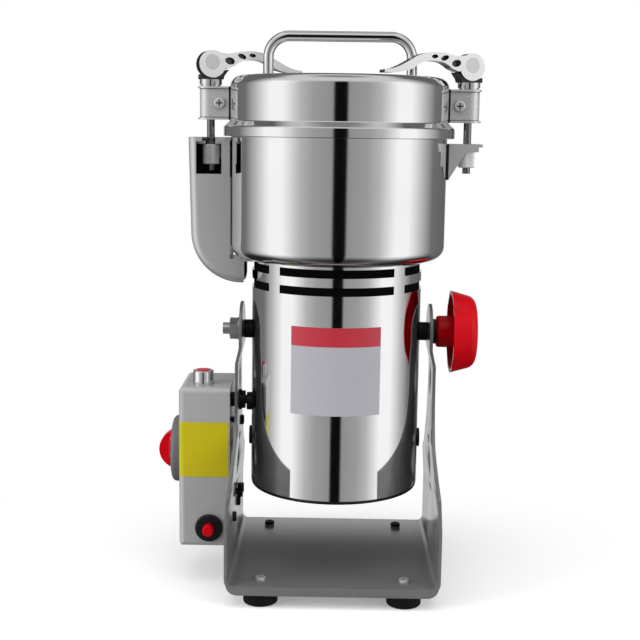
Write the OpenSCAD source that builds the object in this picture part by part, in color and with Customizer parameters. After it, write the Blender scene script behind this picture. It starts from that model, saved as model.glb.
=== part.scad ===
// Electric grain mill: a steel grinding head that tips between the two arms of a sheet stand.
// +Z is up and -Y is the front. The origin lies on the table under the middle of the part.

/* [Stand] */
// Thickness of the stand's sheet metal
sheet_t = 2; // [1.5:0.1:3]
// Depth of the stand from front to back
stand_depth = 142; // [132:1:170]
// Height of the pivot axis above the base plate
pivot_rise = 159; // [152:1:190]
// Outer radius of the bends between the base plate and the arms
bend_r = 6; // [4:0.5:10]
// Height of the turned-down lips at the front and the back of the base plate
lip_h = 6; // [4:0.5:10]
// Height of the arms' full-depth part above the base plate
full_h = 60; // [45:1:75]
// Power of the curve on which an arm narrows above it
arm_taper = 4; // [3:0.1:5]
// Height above the base plate at which an arm begins to lean in
shoulder_h = 38; // [25:1:50]
// Radius of the round boss at the top of an arm
boss_r = 19; // [14:0.5:20]
// How far an arm leans in between its shoulder and its middle
arm_lean = 2.7; // [1.5:0.1:4]
// Height above the shoulder over which an arm leans
lean_h = 46; // [30:1:60]
// How far an arm steps in below its boss
arm_joggle = 2.5; // [1.5:0.1:4]
// Diameter of a rubber foot
foot_d = 23; // [18:0.5:28]
// Height of a rubber foot
foot_h = 13; // [10:0.5:18]
// Distance of a foot's centre from the outside of the arm
foot_inset_x = 23.2; // [18:0.2:30]
// Gap between a foot and the lip beside it
foot_gap = 0.5; // [0.3:0.1:6]

/* [Motor housing] */
// Diameter of the motor housing
housing_d = 115.4; // [112:0.2:120]
// Wall of the motor housing
housing_wall = 1.2; // [0.8:0.1:2]
// How far the housing reaches below the pivot axis
housing_drop = 107; // [104:1:118]
// How far the housing reaches above the pivot axis
housing_rise = 50.5; // [48:0.5:60]
// Width of the bars that cross the vent rows
vent_bar = 10; // [6:0.5:14]
// Height of a vent slot
vent_h = 5.5; // [4:0.5:7]
// Height of the ring between the two vent rows
vent_ring = 6; // [4:0.5:8]
// Gap between the housing and an arm's boss
pivot_gap = 5.8; // [5:0.2:8]

/* [Bowl and lid] */
// Outer diameter of the grinding bowl
bowl_d = 145; // [140:1:152]
// Wall of the bowl and the lid
bowl_wall = 1.2; // [0.8:0.1:1.6]
// Height of the bowl
bowl_h = 87.5; // [80:0.5:100]
// Radius of the bowl's bottom corner
bowl_corner = 9; // [6:0.5:12]
// Width of the bowl's turned-out rim
rim_w = 1.5; // [1:0.1:2]
// Height of the lid above the bowl's rim
lid_rise = 32.5; // [30:0.5:40]
// How far the lid's skirt stands out from its wall
skirt_out = 4.3; // [2.5:0.1:7]
// How far the skirt hangs below the bowl's rim
skirt_drop = 7; // [5:0.5:10]
// Radius of the lid's top corner
lid_corner = 7; // [5:0.5:10]
// Diameter of the handle's bar
handle_bar = 7; // [5:0.5:8]
// Outer width of the handle
handle_w = 102.4; // [90:0.2:106]
// Height of the handle above the lid
handle_h = 30; // [24:1:40]
// Bend radius of the handle at the middle of the bar
handle_bend = 14; // [9:0.5:18]

/* [Latches] */
// Gap between the lid's skirt and a latch rod
rod_gap = 6.05; // [4:0.05:9]
// Diameter of a latch rod
rod_d = 5.3; // [4:0.1:6]
// Height of the pin above the lid's top
pin_rise = 8.7; // [8:0.1:12]
// Diameter of the barrel pin on which a lever turns
pin_d = 9.6; // [8:0.2:10]
// Diameter of a lever's cam head
cam_d = 17.8; // [16:0.2:18.2]
// Distance between the cam's centre and the pin's axis
cam_offset = 1.1; // [0.6:0.1:1.3]
// Length of a lever from the pin to its tip
lever_len = 62.5; // [50:0.5:66]
// Thickness of a lever
lever_t = 10; // [9:0.2:11]
// Angle between a lever and the line to the bowl's axis
lever_angle = 20; // [18:1:26]
// Diameter of a knurled nut
nut_d = 11.5; // [9:0.5:13]
// Height of a knurled nut
nut_h = 13.4; // [10:0.2:15]
// Height of a latch bracket's bottom above the lid's lower edge
bracket_rise = 10.6; // [9:0.1:14]
// Height of a latch bracket
bracket_h = 21.7; // [18:0.1:24]
// Width of a latch bracket from front to back
bracket_w = 20; // [17:0.5:24]
// Thickness of the bracket's sheet
bracket_t = 1.5; // [1:0.1:2]
// Distance of an ear's top below the bowl's rim
ear_drop = 10.3; // [9.5:0.1:14]
// Thickness of an ear
ear_t = 2; // [1.5:0.1:3]

/* [Interlock cover] */
// Depth of the cover from front to back
cover_w = 30; // [27:0.5:36]
// Wall of the cover
cover_wall = 2; // [1.5:0.1:2.5]
// Radius of the cover's lower corner
cover_corner = 34; // [28:0.5:38]
// How far the cover reaches below the bowl
cover_drop = 17.5; // [14:0.5:20]

/* [Control box] */
// Width of the box, away from the arm
box_w = 34.8; // [32:0.2:42]
// Depth of the box from front to back
box_depth = 54; // [50:1:66]
// Height of the box
box_h = 111.5; // [100:0.5:114]
// Height of the box's bottom above the table
box_lift = 26; // [20:0.5:32]
// Wall of the box
box_wall = 2; // [1.5:0.1:3]
// Radius of the box's edges
box_edge = 4; // [3:0.5:6]
// Height of the timer's axis above the box's bottom
timer_rise = 62.4; // [48:0.2:70]
// Diameter of the timer's dial plate
dial_d = 46; // [36:1:50]
// Thickness of the dial plate
dial_t = 6.5; // [4:0.5:8]
// Diameter of the timer knob
timer_knob_d = 26.5; // [20:0.5:32]
// How far the timer knob's grip stands out
grip_h = 9.6; // [7:0.2:12]
// Diameter of the breaker's bezel
bezel_d = 19; // [15:0.5:22]
// Distance of the breaker's axis from the arm
bezel_inset = 14.1; // [12:0.1:20]
// Height of the breaker's axis above the box's bottom
bezel_rise = 13.8; // [12:0.1:24]
// How far the reset button stands out of its bezel
reset_h = 6; // [4:0.5:8]
// Diameter of the power button's collar
collar_d = 14; // [12:0.5:18]
// Depth of the motor lead below the box's top
lead_drop = 13.5; // [10:0.5:20]
// Distance of the power button's axis from the arm
collar_inset = 19.3; // [12:0.1:24]
// Distance of the power button's axis towards the front
collar_shift = 12; // [0:1:18]
// Height of the power button's collar
collar_h = 9.5; // [6:0.5:12]

/* [Clamp knob] */
// Diameter of the knob's open rim
knob_d = 56.5; // [44:0.5:60]
// Length of the knob from its hub to its outer face
knob_len = 27.7; // [24:0.1:32]
// Diameter of the knob's hub
hub_d = 21.7; // [18:0.1:24]
// How far the hub stands out of the open rim
hub_len = 10; // [6:0.5:12]
// Diameter of the pivot studs
stud_d = 8; // [6:0.5:8.5]

/* [Motor] */
// Diameter of the armature
armature_d = 49; // [44:0.5:50]
// Height of the laminated cores above the housing's bottom
stack_rise = 47; // [44:0.5:54]
// Height of the laminated cores
stack_h = 46; // [38:1:50]
// Diameter of the fan
fan_d = 80; // [70:1:84]
// Number of the fan's blades
fan_blades = 9; // [7:1:13]
// Diameter of the commutator
commutator_d = 24; // [20:0.5:28]
// Diameter of the shaft in the bowl
shaft_d = 10; // [8:0.2:11]
// Length of a grinding blade from tip to tip
blade_span = 118; // [90:1:122]
// Thickness of a grinding blade
blade_t = 2.5; // [1.5:0.1:3]

/* [Hidden] */

$fn = 96;

// Clearances: between pieces that move past each other, round a shaft, of a loose hole, under a cam
move_gap = 0.3;
shaft_gap = 0.06;
hole_gap = 0.1;
cam_gap = 0.4;
// A cut runs this far past the face it opens
past = 1;

// Heights of the stand, the head, the bowl and the lid above the table
plate_top = foot_h + sheet_t;
pivot_z = plate_top + pivot_rise;
full_z = plate_top + full_h;
shoulder_z = plate_top + shoulder_h;
house_r = housing_d / 2;
house_in = house_r - housing_wall;
house_z0 = pivot_z - housing_drop;
house_z1 = pivot_z + housing_rise;
bowl_r = bowl_d / 2;
rim_z = house_z1 + bowl_h;
lid_r = bowl_r + 0.5;
skirt_r = lid_r + skirt_out;
rod_x = skirt_r + rod_gap + rod_d / 2;
lid_z0 = rim_z - skirt_drop;
lid_z1 = rim_z + lid_rise;
pin_z = lid_z1 + pin_rise;
handle_top = lid_z1 + handle_h;

// Places of the arms on X, from the boss down to the base plate
boss_in = house_r + pivot_gap;
boss_out = boss_in + sheet_t;
arm_mid = boss_out + arm_joggle;
arm_low = arm_mid + arm_lean;
lean_z = shoulder_z + lean_h;
joggle_z0 = pivot_z - boss_r - 2;
joggle_z1 = joggle_z0 + 10;
foot_x = arm_low - foot_inset_x;
foot_y = stand_depth / 2 - sheet_t - foot_gap - foot_d / 2;

// Screws: radii of shank and head and height of the head; how deep the case screws are sunk
m4_r = 2;
m4_head_r = 3.5;
m4_head_h = 2;
m3_r = 1.5;
m3_head_r = 3.55;
m3_head_h = 1.7;
screw_sink = 2.4;

// Places on the control box
box_in = -arm_low;
box_out = box_in - box_w;
box_z0 = box_lift;
box_z1 = box_z0 + box_h;
back_t = 1.5;
timer_z = box_z0 + timer_rise;
dial_out = box_out - dial_t;
knob_tip = dial_out - move_gap - grip_h;
bezel_x = box_in - bezel_inset;
bezel_z = box_z0 + bezel_rise;
bezel_t = 2.5;
collar_x = box_in - collar_inset;
collar_y = -collar_shift;
box_front = -box_depth / 2;
timer_bush_r = 5;
timer_shaft_r = 3;
breaker_r = 6.5;
reset_r = 3.85;
power_r = 4.7;
// A threaded neck is this much thinner than its collar or gland
thread_step = 1;

// The clamp knob's places on X
washer_t = 2.6;
washer_x = boss_out + move_gap;
knob_x0 = washer_x + washer_t + move_gap;
knob_rim = knob_x0 + hub_len;
knob_x1 = knob_x0 + knob_len;

// The middle of the part's width lies over the origin
axis_x = (-knob_tip - knob_x1) / 2;

// Studs of the handle
handle_x = (handle_w - handle_bar) / 2;
handle_stud_r = 3;

// Latch heights
cam_z = pin_z - cam_offset;
cam_r = cam_d / 2;
bracket_z0 = lid_z0 + bracket_rise;
bracket_z1 = bracket_z0 + bracket_h;
seat_z0 = bracket_z1 + move_gap;
bracket_x1 = rod_x + 7;
plate_t = 1.3;
plate_lip = 1.2;
lug_x1 = rod_x - rod_d / 2 - 1;
lug_screw_x = lug_x1 - 3;
ear_z1 = rim_z - ear_drop;
ear_z0 = ear_z1 - ear_t;
ear_x1 = rod_x + 9.4;
nut_z1 = ear_z0 - move_gap;
nut_z0 = nut_z1 - nut_h;
rod_z0 = nut_z0 - 4;
rod_drop = 1;
seat_top = seat_z0 + 4.4;
seat_r = 7.5;

// Interlock cover: its outer line, top and bottom
cover_x1 = rod_x + 14;
cover_top = ear_z1 + 2.3;
cover_bottom = house_z1 - cover_drop;
bowl_gap = 1;
window_z0 = nut_z0 - 6;
window_z1 = ear_z1 - 0.4;
window_w = nut_d + 5.3;

// Motor heights
stack_z0 = house_z0 + stack_rise;
stack_z1 = stack_z0 + stack_h;
carrier_z1 = house_z1 - 28.5;
carrier_in = 46.5;
carrier_wall = 3;
cap_t = 2;
plug_t = 4;
plate_z1 = carrier_z1 + 4;
bearing_z0 = house_z0 + 9;
bearing_h = 7;
bearing_r = 11;
top_bearing_z0 = plate_z1 + 6;
top_bearing_h = 9;
top_bearing_r = 14;
seat_wall = 4;
brush_z = stack_z0 - 15;
fan_z = stack_z1 + 12;
post_r = 40;
rib_r = 51.6;
armature_r = armature_d / 2;
shaft_r = shaft_d / 2;
motor_shaft_r = 6;
lower_journal = 4;
floor_z = house_z1 + bowl_wall;
hub_z = floor_z + 3.4;

// The lead between the left arm and the housing
lead_z = box_z1 - lead_drop;
lead_r = 3;
gland_r = 6.2;
inlet_y = 8;
inlet_z = shoulder_z + 2;
inlet_r = 2.4;
inlet_h = 6;

// Outline of a cam lever: height at its root, then its upper and lower edges as shares of its
// length and heights over the pin
lever_root = 6.8;
lever_top_edge = [[0.19, 5.7], [0.32, 7.4], [0.47, 7.7], [0.61, 5.8], [0.7, 2.7],
    [0.8, -0.6], [0.9, -3.1], [1, -4.1]];
lever_low_edge = [[1, -6], [0.9, -5.9], [0.8, -5.1], [0.7, -3.4], [0.61, 0],
    [0.51, 2.1], [0.37, 1.8], [0.29, -0.1], [0.235, -2.4], [0.16, -4.2]];
// Oval pockets of a cam lever, with a web between the two sides: share of its length, height over
// the pin, length, height, tilt
lever_web = 2;
pocket_z = (lever_t + lever_web) / 2;
lever_pockets = [[0.19, 1, 6.8, 4.6, -12], [0.325, 4.2, 6, 3.2, -20], [0.44, 5, 4.7, 2.5, -6]];

// A smooth curve through points, with n steps between each two
function at(p, i) = p[min(max(i, 0), len(p) - 1)];
function blend4(a, b, c, d, t) = 0.5 * (2 * b + (c - a) * t + (2 * a - 5 * b + 4 * c - d) * t * t
    + (3 * b - a - 3 * c + d) * t * t * t);
function curve(p, n) = [for (i = [0 : len(p) - 2], k = [0 : n - 1])
    blend4(at(p, i - 1), at(p, i), at(p, i + 1), at(p, i + 2), k / n)];
function last(p) = p[len(p) - 1];
function mirrored(p) = [for (i = [len(p) - 1 : -1 : 0]) [-p[i][0], p[i][1]]];

// Half depth of an arm at a height
function arm_half(z) = z <= full_z ? stand_depth / 2
    : boss_r + (stand_depth / 2 - boss_r) * pow(1 - (z - full_z) / (joggle_z1 - full_z), arm_taper);
// Outer face of an arm on X at a height below the joggle
function arm_face(z) = z <= shoulder_z ? arm_low
    : z >= lean_z ? arm_mid : arm_low - arm_lean * (z - shoulder_z) / (lean_z - shoulder_z);

// Moves the head's axis from X = 0 to its place over the origin
module machine() translate([axis_x, 0, 0]) children();

module x_rod(x0, x1, r) translate([x0, 0, 0]) rotate([0, 90, 0]) cylinder(h = x1 - x0, r = r);
module y_rod(y0, y1, r) translate([0, y1, 0]) rotate([90, 0, 0]) cylinder(h = y1 - y0, r = r);
module z_rod(z0, z1, r) translate([0, 0, z0]) cylinder(h = z1 - z0, r = r);
module at_pivot() translate([0, 0, pivot_z]) children();
module both_sides() { children(); rotate(180) children(); }
module four_corners() for (a = [45 : 90 : 315]) rotate(a) children();

// Half outline of a round can, with the radii of its bottom and top corners
module can(r, z0, z1, low_r, top_r) {
    translate([0, z0 + low_r]) square([r, z1 - z0 - low_r - top_r]);
    translate([0, z0]) square([r - low_r, z1 - z0 - top_r]);
    translate([0, z0 + low_r]) square([r - top_r, z1 - z0 - low_r]);
    if (low_r > 0) intersection() {
        translate([r - low_r, z0 + low_r]) circle(low_r);
        square([r, z1]);
    }
    if (top_r > 0) intersection() {
        translate([r - top_r, z1 - top_r]) circle(top_r);
        square([r, z1]);
    }
}

module rounded_rect(w, h, r) {
    square([w - 2 * r, h], center = true);
    square([w, h - 2 * r], center = true);
    for (x = [-1, 1], y = [-1, 1]) translate([x * (w / 2 - r), y * (h / 2 - r)]) circle(r);
}

// Block with all edges rounded, from its lowest corner
module soft_block(size, r) translate(size / 2) intersection() {
    linear_extrude(size.z, center = true) rounded_rect(size.x, size.y, r);
    rotate([90, 0, 0]) linear_extrude(size.y, center = true) rounded_rect(size.x, size.z, r);
    rotate([90, 0, 90]) linear_extrude(size.x, center = true) rounded_rect(size.y, size.z, r);
}

module cross_recess(r, depth) for (a = [0, 90]) rotate(a)
    translate([-r * 0.6, -r * 0.12, -depth]) cube([r * 1.2, r * 0.24, depth + past]);

// Pan head screw: its head stands up from z = 0 and its shank hangs down
module pan_screw(length, r, head_r, head_h) difference() {
    union() {
        z_rod(-length, past / 2, r);
        rotate_extrude() can(head_r, 0, head_h, 0, head_h * 0.45);
    }
    translate([0, 0, head_h]) cross_recess(head_r, head_h * 0.5);
}

module ellipse(w, h) polygon([for (i = [0 : 23]) [w / 2 * cos(15 * i), h / 2 * sin(15 * i)]]);

// Pointed leaf between two heights
module leaf(z0, z1, w) polygon(concat(
    [for (i = [0 : 12]) [w / 2 * pow(sin(15 * i), 1.2), z0 + (z1 - z0) * i / 12]],
    [for (i = [11 : -1 : 1]) [-w / 2 * pow(sin(15 * i), 1.2), z0 + (z1 - z0) * i / 12]]));

// Half of the stand's front view, filled, a distance inside the sheet's outer face
module stand_fill(d) {
    polygon([[0, foot_h + d], [arm_low - bend_r, foot_h + d], [arm_low - d, foot_h + bend_r],
        [arm_low - d, shoulder_z], [arm_mid - d, lean_z], [arm_mid - d, joggle_z0],
        [boss_out - d, joggle_z1], [boss_out - d, pivot_z + boss_r + past],
        [0, pivot_z + boss_r + past]]);
    translate([arm_low - bend_r, foot_h + bend_r]) circle(bend_r - d);
}

module stand_section() for (m = [0, 1]) mirror([m, 0]) difference() {
    stand_fill(0);
    difference() {
        stand_fill(sheet_t);
        translate([-past, 0]) square([past, 1]);
    }
}

// Side view of the stand: the arms' outline
module arm_outline() {
    side = [for (i = [0 : 20]) let(z = full_z + (joggle_z1 - full_z) * i / 20) [arm_half(z), z]];
    polygon(concat([[stand_depth / 2, 0]], side, mirrored(side), [[-stand_depth / 2, 0]]));
    translate([0, pivot_z]) circle(boss_r);
    translate([-boss_r, joggle_z1 - past]) square([2 * boss_r, pivot_z - joggle_z1 + past]);
}

// Openings along the middle of both arms
module arm_windows() {
    leaf(lead_z - 4 + gland_r, joggle_z0 - past, 10);
    translate([0, shoulder_z + 45]) ellipse(9, 6);
    leaf(shoulder_z + 16, shoulder_z + 41, 15);
    leaf(shoulder_z + 7, shoulder_z + 14, 10);
}

module base_frame() color([0.66, 0.66, 0.67]) difference() {
    union() {
        intersection() {
            rotate([90, 0, 0]) linear_extrude(stand_depth, center = true) stand_section();
            rotate([90, 0, 90]) linear_extrude(3 * arm_low, center = true) arm_outline();
        }
        for (y = [-1, 1]) translate([0, y * (stand_depth - sheet_t) / 2, plate_top - lip_h / 2])
            cube([2 * (arm_low - bend_r), sheet_t, lip_h], center = true);
    }
    rotate([90, 0, 90]) linear_extrude(3 * arm_low, center = true) arm_windows();
    at_pivot() x_rod(-2 * arm_low, 2 * arm_low, stud_d / 2 + shaft_gap);
    foot_places() z_rod(foot_h - past, plate_top + past, m4_r + hole_gap);
    box_screw_places() x_rod(-arm_low - past, -arm_mid + 2 * sheet_t, m4_r + hole_gap);
    translate([0, 0, lead_z]) x_rod(-arm_low, -arm_mid + 2 * sheet_t, gland_r - thread_step);
    translate([0, inlet_y, inlet_z]) x_rod(-arm_low - past, -arm_low + 2 * sheet_t, inlet_r);
}

module foot_places() for (x = [-1, 1], y = [-1, 1]) translate([x * foot_x, y * foot_y, 0]) children();

// The control box is held by two screws low on the arm and one above them
box_screw_spots = [[-18, shoulder_z - 8], [18, shoulder_z - 8], [14, lean_z + 7]];
module box_screw_places() for (s = box_screw_spots) translate([0, s[0], s[1]]) children();

module rubber_feet() color([0.06, 0.06, 0.06]) foot_places() difference() {
    rotate_extrude() can(foot_d / 2, 0, foot_h, 1.5, 0.6);
    z_rod(-past, foot_h + past, m4_r + hole_gap);
    z_rod(-past, 3, m4_head_r + 1);
}

module frame_screws() color([0.75, 0.75, 0.76]) {
    foot_places() translate([0, 0, plate_top]) pan_screw(plate_top - 4, m4_r, m4_head_r, m4_head_h);
    for (s = box_screw_spots) let(inner = arm_face(s[1]) - sheet_t)
        translate([-inner, s[0], s[1]]) rotate([0, 90, 0])
            pan_screw(-box_in + back_t + 2 - inner, m4_r, m4_head_r, m4_head_h);
}

module control_box() color([0.68, 0.68, 0.69]) difference() {
    translate([box_out, box_front, box_z0]) soft_block([box_w + box_edge, box_depth, box_h], box_edge);
    translate([box_in, -box_depth, box_z0 - past]) cube([2 * box_edge, 2 * box_depth, box_h + 2 * past]);
    translate([box_out + box_wall, box_front + box_wall, box_z0 + box_wall])
        cube([box_w + box_edge, box_depth - 2 * box_wall, box_h - 2 * box_wall]);
    translate([0, 0, timer_z]) x_rod(box_out - past, box_out + 2 * box_wall, timer_bush_r);
    translate([bezel_x, 0, bezel_z]) y_rod(box_front - past, box_front + 2 * box_wall, breaker_r + hole_gap);
    translate([collar_x, collar_y, 0])
        z_rod(box_z1 - 2 * box_wall, box_z1 + past, collar_d / 2 - thread_step + hole_gap);
}

module control_box_back() color([0.5, 0.5, 0.52]) difference() {
    translate([box_in - back_t, box_front + box_wall, box_z0 + box_wall])
        cube([back_t, box_depth - 2 * box_wall, box_h - 2 * box_wall]);
    box_screw_places() x_rod(box_in - 2 * back_t, box_in + past, m4_r + shaft_gap);
    translate([0, 0, lead_z]) x_rod(box_in - 2 * back_t, box_in + past, gland_r - thread_step);
}

timer_case = [20, 38, 42];
timer_shaft_len = 10;
module timer_body() color([0.85, 0.85, 0.82]) translate([box_out + box_wall, 0, timer_z]) difference() {
    union() {
        translate([0, -timer_case.y / 2, -timer_case.z / 2]) cube(timer_case);
        x_rod(-box_wall, past, timer_bush_r - hole_gap);
    }
    x_rod(-2 * box_wall, timer_shaft_len + box_wall, timer_shaft_r + shaft_gap);
}

module timer_dial() color([0.6, 0.6, 0.62]) translate([box_out, 0, timer_z]) rotate([0, -90, 0])
    difference() {
        rotate_extrude() can(dial_d / 2, 0, dial_t, 0, 3);
        z_rod(-past, dial_t + past, 4);
    }

// The grip is a round segment that stands on the knob's disc
module timer_knob() color([0.8, 0.03, 0.06]) {
    disc_t = 2;
    chord = timer_knob_d / 2;
    arc_r = (chord * chord + grip_h * grip_h) / (2 * grip_h);
    translate([dial_out - move_gap, 0, timer_z]) {
        rotate([0, -90, 0]) rotate_extrude() can(chord, 0, disc_t, 0, 0.8);
        intersection() {
            translate([arc_r - grip_h, 0, 0]) y_rod(-4, 4, arc_r);
            translate([-grip_h, -4, -chord]) cube([grip_h - disc_t / 2, 8, 2 * chord]);
        }
        x_rod(-past, dial_t + box_wall + timer_shaft_len, timer_shaft_r);
    }
}

breaker_case = [16, 22, 18];
module breaker_body() color([0.07, 0.07, 0.07]) translate([bezel_x, box_front, bezel_z]) difference() {
    union() {
        rotate([90, 0, 0]) rotate_extrude() can(bezel_d / 2, 0, bezel_t, 0, 1.2);
        y_rod(-past, box_wall + past, breaker_r);
        translate([-breaker_case.x / 2, box_wall, -breaker_case.z / 2]) cube(breaker_case);
    }
    y_rod(-2 * bezel_t, breaker_case.y / 2, reset_r + shaft_gap);
}

module reset_button() color([0.85, 0.05, 0.05]) translate([bezel_x, box_front, bezel_z])
    rotate([90, 0, 0]) rotate_extrude() can(reset_r, 4 - breaker_case.y / 2, bezel_t + reset_h, 0, 1);

module button_collar() color([0.8, 0.8, 0.82]) translate([collar_x, collar_y, box_z1]) difference() {
    union() {
        rotate_extrude() can(collar_d / 2, 0, collar_h, 0, 0.8);
        z_rod(-14, past, collar_d / 2 - thread_step);
        difference() {
            z_rod(-box_wall - 2.5, -box_wall, collar_d / 2 + 2);
            z_rod(-box_wall - 3, past, collar_d / 2 - thread_step);
        }
    }
    z_rod(-2, collar_h + past, power_r + shaft_gap);
}

module power_button() color([0.85, 0.05, 0.05]) translate([collar_x, collar_y, box_z1])
    rotate_extrude() can(power_r, 0.5, collar_h + 0.4, 0, 0.8);

// The lead's gland passes through the arm, and the mains inlet's gland sits low on the same arm
module arm_glands() color([0.05, 0.05, 0.05]) {
    inner = -arm_mid + sheet_t;
    translate([0, 0, lead_z]) difference() {
        union() {
            x_rod(box_in - back_t - 2, inner + past, gland_r - thread_step - hole_gap);
            x_rod(inner, inner + 1.4, gland_r + 1);
            x_rod(inner + 1, inner + 4, gland_r);
        }
        x_rod(-2 * arm_low, 0, lead_r + shaft_gap);
    }
    translate([-arm_face(inlet_z + inlet_h) + sheet_t, inlet_y, inlet_z]) {
        translate([0, -3.5, -3]) cube([4, 7, 5]);
        translate([inlet_r, 0, 0]) z_rod(0, inlet_h, inlet_r);
        x_rod(-sheet_t - arm_lean * inlet_h / lean_h, past, inlet_r - hole_gap);
    }
}

// Short cord between the two glands
module motor_lead() color([0.04, 0.04, 0.04]) translate([0, 0, lead_z])
    x_rod(box_in - back_t - 5, -house_in + 5, lead_r);

module housing_gland() color([0.05, 0.05, 0.05]) translate([0, 0, lead_z - 1]) difference() {
    x_rod(-house_r - 3.2, 0, gland_r);
    z_rod(-2 * gland_r, 2 * gland_r, house_in);
    difference() {
        z_rod(-2 * gland_r, 2 * gland_r, house_r);
        x_rod(-house_r, 0, gland_r - thread_step - hole_gap);
    }
    translate([0, 0, 1]) x_rod(-2 * arm_low, 0, lead_r + shaft_gap);
}

// Steel can of the motor, open below, with a ledge on top that carries the bowl
module motor_housing() color([0.78, 0.79, 0.8]) difference() {
    rotate_extrude() difference() {
        can(house_r, house_z0 + cap_t, house_z1, 0, 4);
        can(house_in, house_z0, house_z1 - housing_wall, 0, 4 - housing_wall);
    }
    z_rod(house_z1 - 2 * housing_wall, house_z1 + past, post_r + 10);
    for (z = [house_z1 - 2.5 - vent_h, house_z1 - 2.5 - 2 * vent_h - vent_ring]) vent_row(z);
    at_pivot() x_rod(-house_r - past, house_r + past, stud_d / 2 + hole_gap);
    translate([0, 0, brush_z]) x_rod(-house_r - past, house_r + past, brush_hole_r);
    translate([0, 0, lead_z - 1]) x_rod(-house_r - past, -house_in / 2, gland_r - thread_step);
}

module vent_row(z) difference() {
    z_rod(z, z + vent_h, house_r + past);
    z_rod(z - past, z + vent_h + past, house_in - 5);
    four_corners() translate([0, -vent_bar / 2, z - past]) cube([house_r + 2, vent_bar, vent_h + 2 * past]);
}

// Bottom cap with the lower bearing's seat, plugged into the housing
air_slot_in = 22;
air_slot_len = 18;
air_slot_w = 4;
module housing_base() color([0.12, 0.12, 0.13]) difference() {
    union() {
        rotate_extrude() can(house_r - 0.3, house_z0, house_z0 + cap_t, 1, 0);
        z_rod(house_z0 + cap_t - past, house_z0 + cap_t + plug_t, house_in - hole_gap);
        z_rod(house_z0 + cap_t, bearing_z0 + bearing_h, bearing_r + seat_wall);
    }
    z_rod(bearing_z0, bearing_z0 + bearing_h + past, bearing_r);
    z_rod(bearing_z0 - 3, bearing_z0 + past, bearing_r - 3);
    for (a = [0 : 30 : 330]) rotate(a)
        translate([air_slot_in, -air_slot_w / 2, house_z0 - past])
            cube([air_slot_len, air_slot_w, cap_t + plug_t + 2 * past]);
    four_corners() translate([rib_r, 0, house_z0]) {
        z_rod(-past, screw_sink, m4_head_r + 0.5);
        z_rod(0, 2 * plug_t, m4_r + hole_gap);
    }
}

module case_screws() color([0.7, 0.7, 0.72]) four_corners() {
    translate([rib_r, 0, house_z0 + screw_sink]) rotate([180, 0, 0])
        pan_screw(14, m4_r, m4_head_r, m4_head_h);
    translate([post_r, 0, floor_z]) pan_screw(12, m4_r, m4_head_r, m4_head_h);
}

// Cast carrier: a ring round the stator, four ribs down to the cap and two bosses for the pivot studs
module motor_carrier() color([0.6, 0.6, 0.6]) difference() {
    union() {
        z_rod(stack_z0 - 4, carrier_z1, carrier_in + carrier_wall);
        intersection() {
            z_rod(house_z0 + cap_t + plug_t, carrier_z1, house_in - hole_gap);
            four_corners() translate([carrier_in, -vent_bar / 2, 0]) cube([house_r, vent_bar, house_z1]);
        }
        intersection() {
            at_pivot() x_rod(-house_r, house_r, 9);
            z_rod(0, house_z1, house_in - hole_gap);
        }
    }
    z_rod(0, house_z1, carrier_in);
    at_pivot() x_rod(-house_r, house_r, stud_d / 2 + shaft_gap);
    four_corners() translate([rib_r, 0, 0]) z_rod(house_z0, house_z0 + 20, m4_r + shaft_gap);
}

// Two-pole laminated core
pole_w = 28;
yoke_in = 38;
module stator_core() color([0.35, 0.35, 0.38]) translate([0, 0, stack_z0]) linear_extrude(stack_h)
    difference() {
        union() {
            difference() {
                circle(carrier_in);
                circle(yoke_in);
            }
            square([pole_w, 2 * yoke_in + 2], center = true);
        }
        circle(armature_r + 1);
    }

coil_w = 40;
coil_t = 5;
coil_gap = 2.2;
coil_reach = 8;
module field_windings() color([0.72, 0.4, 0.15]) both_sides() difference() {
    translate([-coil_w / 2, armature_r + coil_gap, stack_z0 - coil_reach])
        soft_block([coil_w, coil_t, stack_h + 2 * coil_reach], coil_t * 0.4);
    translate([-pole_w / 2, 0, stack_z0]) cube([pole_w, 2 * yoke_in, stack_h]);
}

module bearing(z, h, r_out, r_in) difference() {
    z_rod(z, z + h, r_out);
    z_rod(z - past, z + h + past, r_in + shaft_gap);
    for (s = [z - past, z + h - 0.6]) difference() {
        z_rod(s, s + 0.6 + past, r_out - 2);
        z_rod(s - past, s + 3 * past, r_in + 2);
    }
}

module bearings() color([0.8, 0.8, 0.82]) {
    bearing(bearing_z0, bearing_h, bearing_r, lower_journal);
    bearing(top_bearing_z0, top_bearing_h, top_bearing_r, shaft_r);
}

// Upper end plate with the top bearing's seat, the four posts that carry the bowl and the ring
// behind the vents
air_hole_x = 31;
air_hole_r = 7;
guard_r = post_r + m4_head_r + 3;
guard_t = 1.6;
guard_gap = 4;
module bearing_plate() color([0.62, 0.62, 0.63]) difference() {
    union() {
        z_rod(carrier_z1, plate_z1, house_in - hole_gap);
        z_rod(carrier_z1, top_bearing_z0 + top_bearing_h, top_bearing_r + seat_wall);
        four_corners() translate([post_r, 0, 0]) z_rod(carrier_z1, house_z1, m4_head_r + 2);
        difference() {
            z_rod(plate_z1 + guard_gap, house_z1 - 1, guard_r);
            z_rod(plate_z1, house_z1, guard_r - guard_t);
        }
    }
    z_rod(carrier_z1 - past, house_z1, shaft_r + 2);
    z_rod(top_bearing_z0, house_z1, top_bearing_r);
    for (a = [0 : 45 : 315]) rotate(a + 22.5) translate([air_hole_x, 0, 0])
        z_rod(carrier_z1 - past, plate_z1 + past, air_hole_r);
    four_corners() translate([post_r, 0, 0]) z_rod(house_z1 - 15, house_z1 + past, m4_r + shaft_gap);
}

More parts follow.
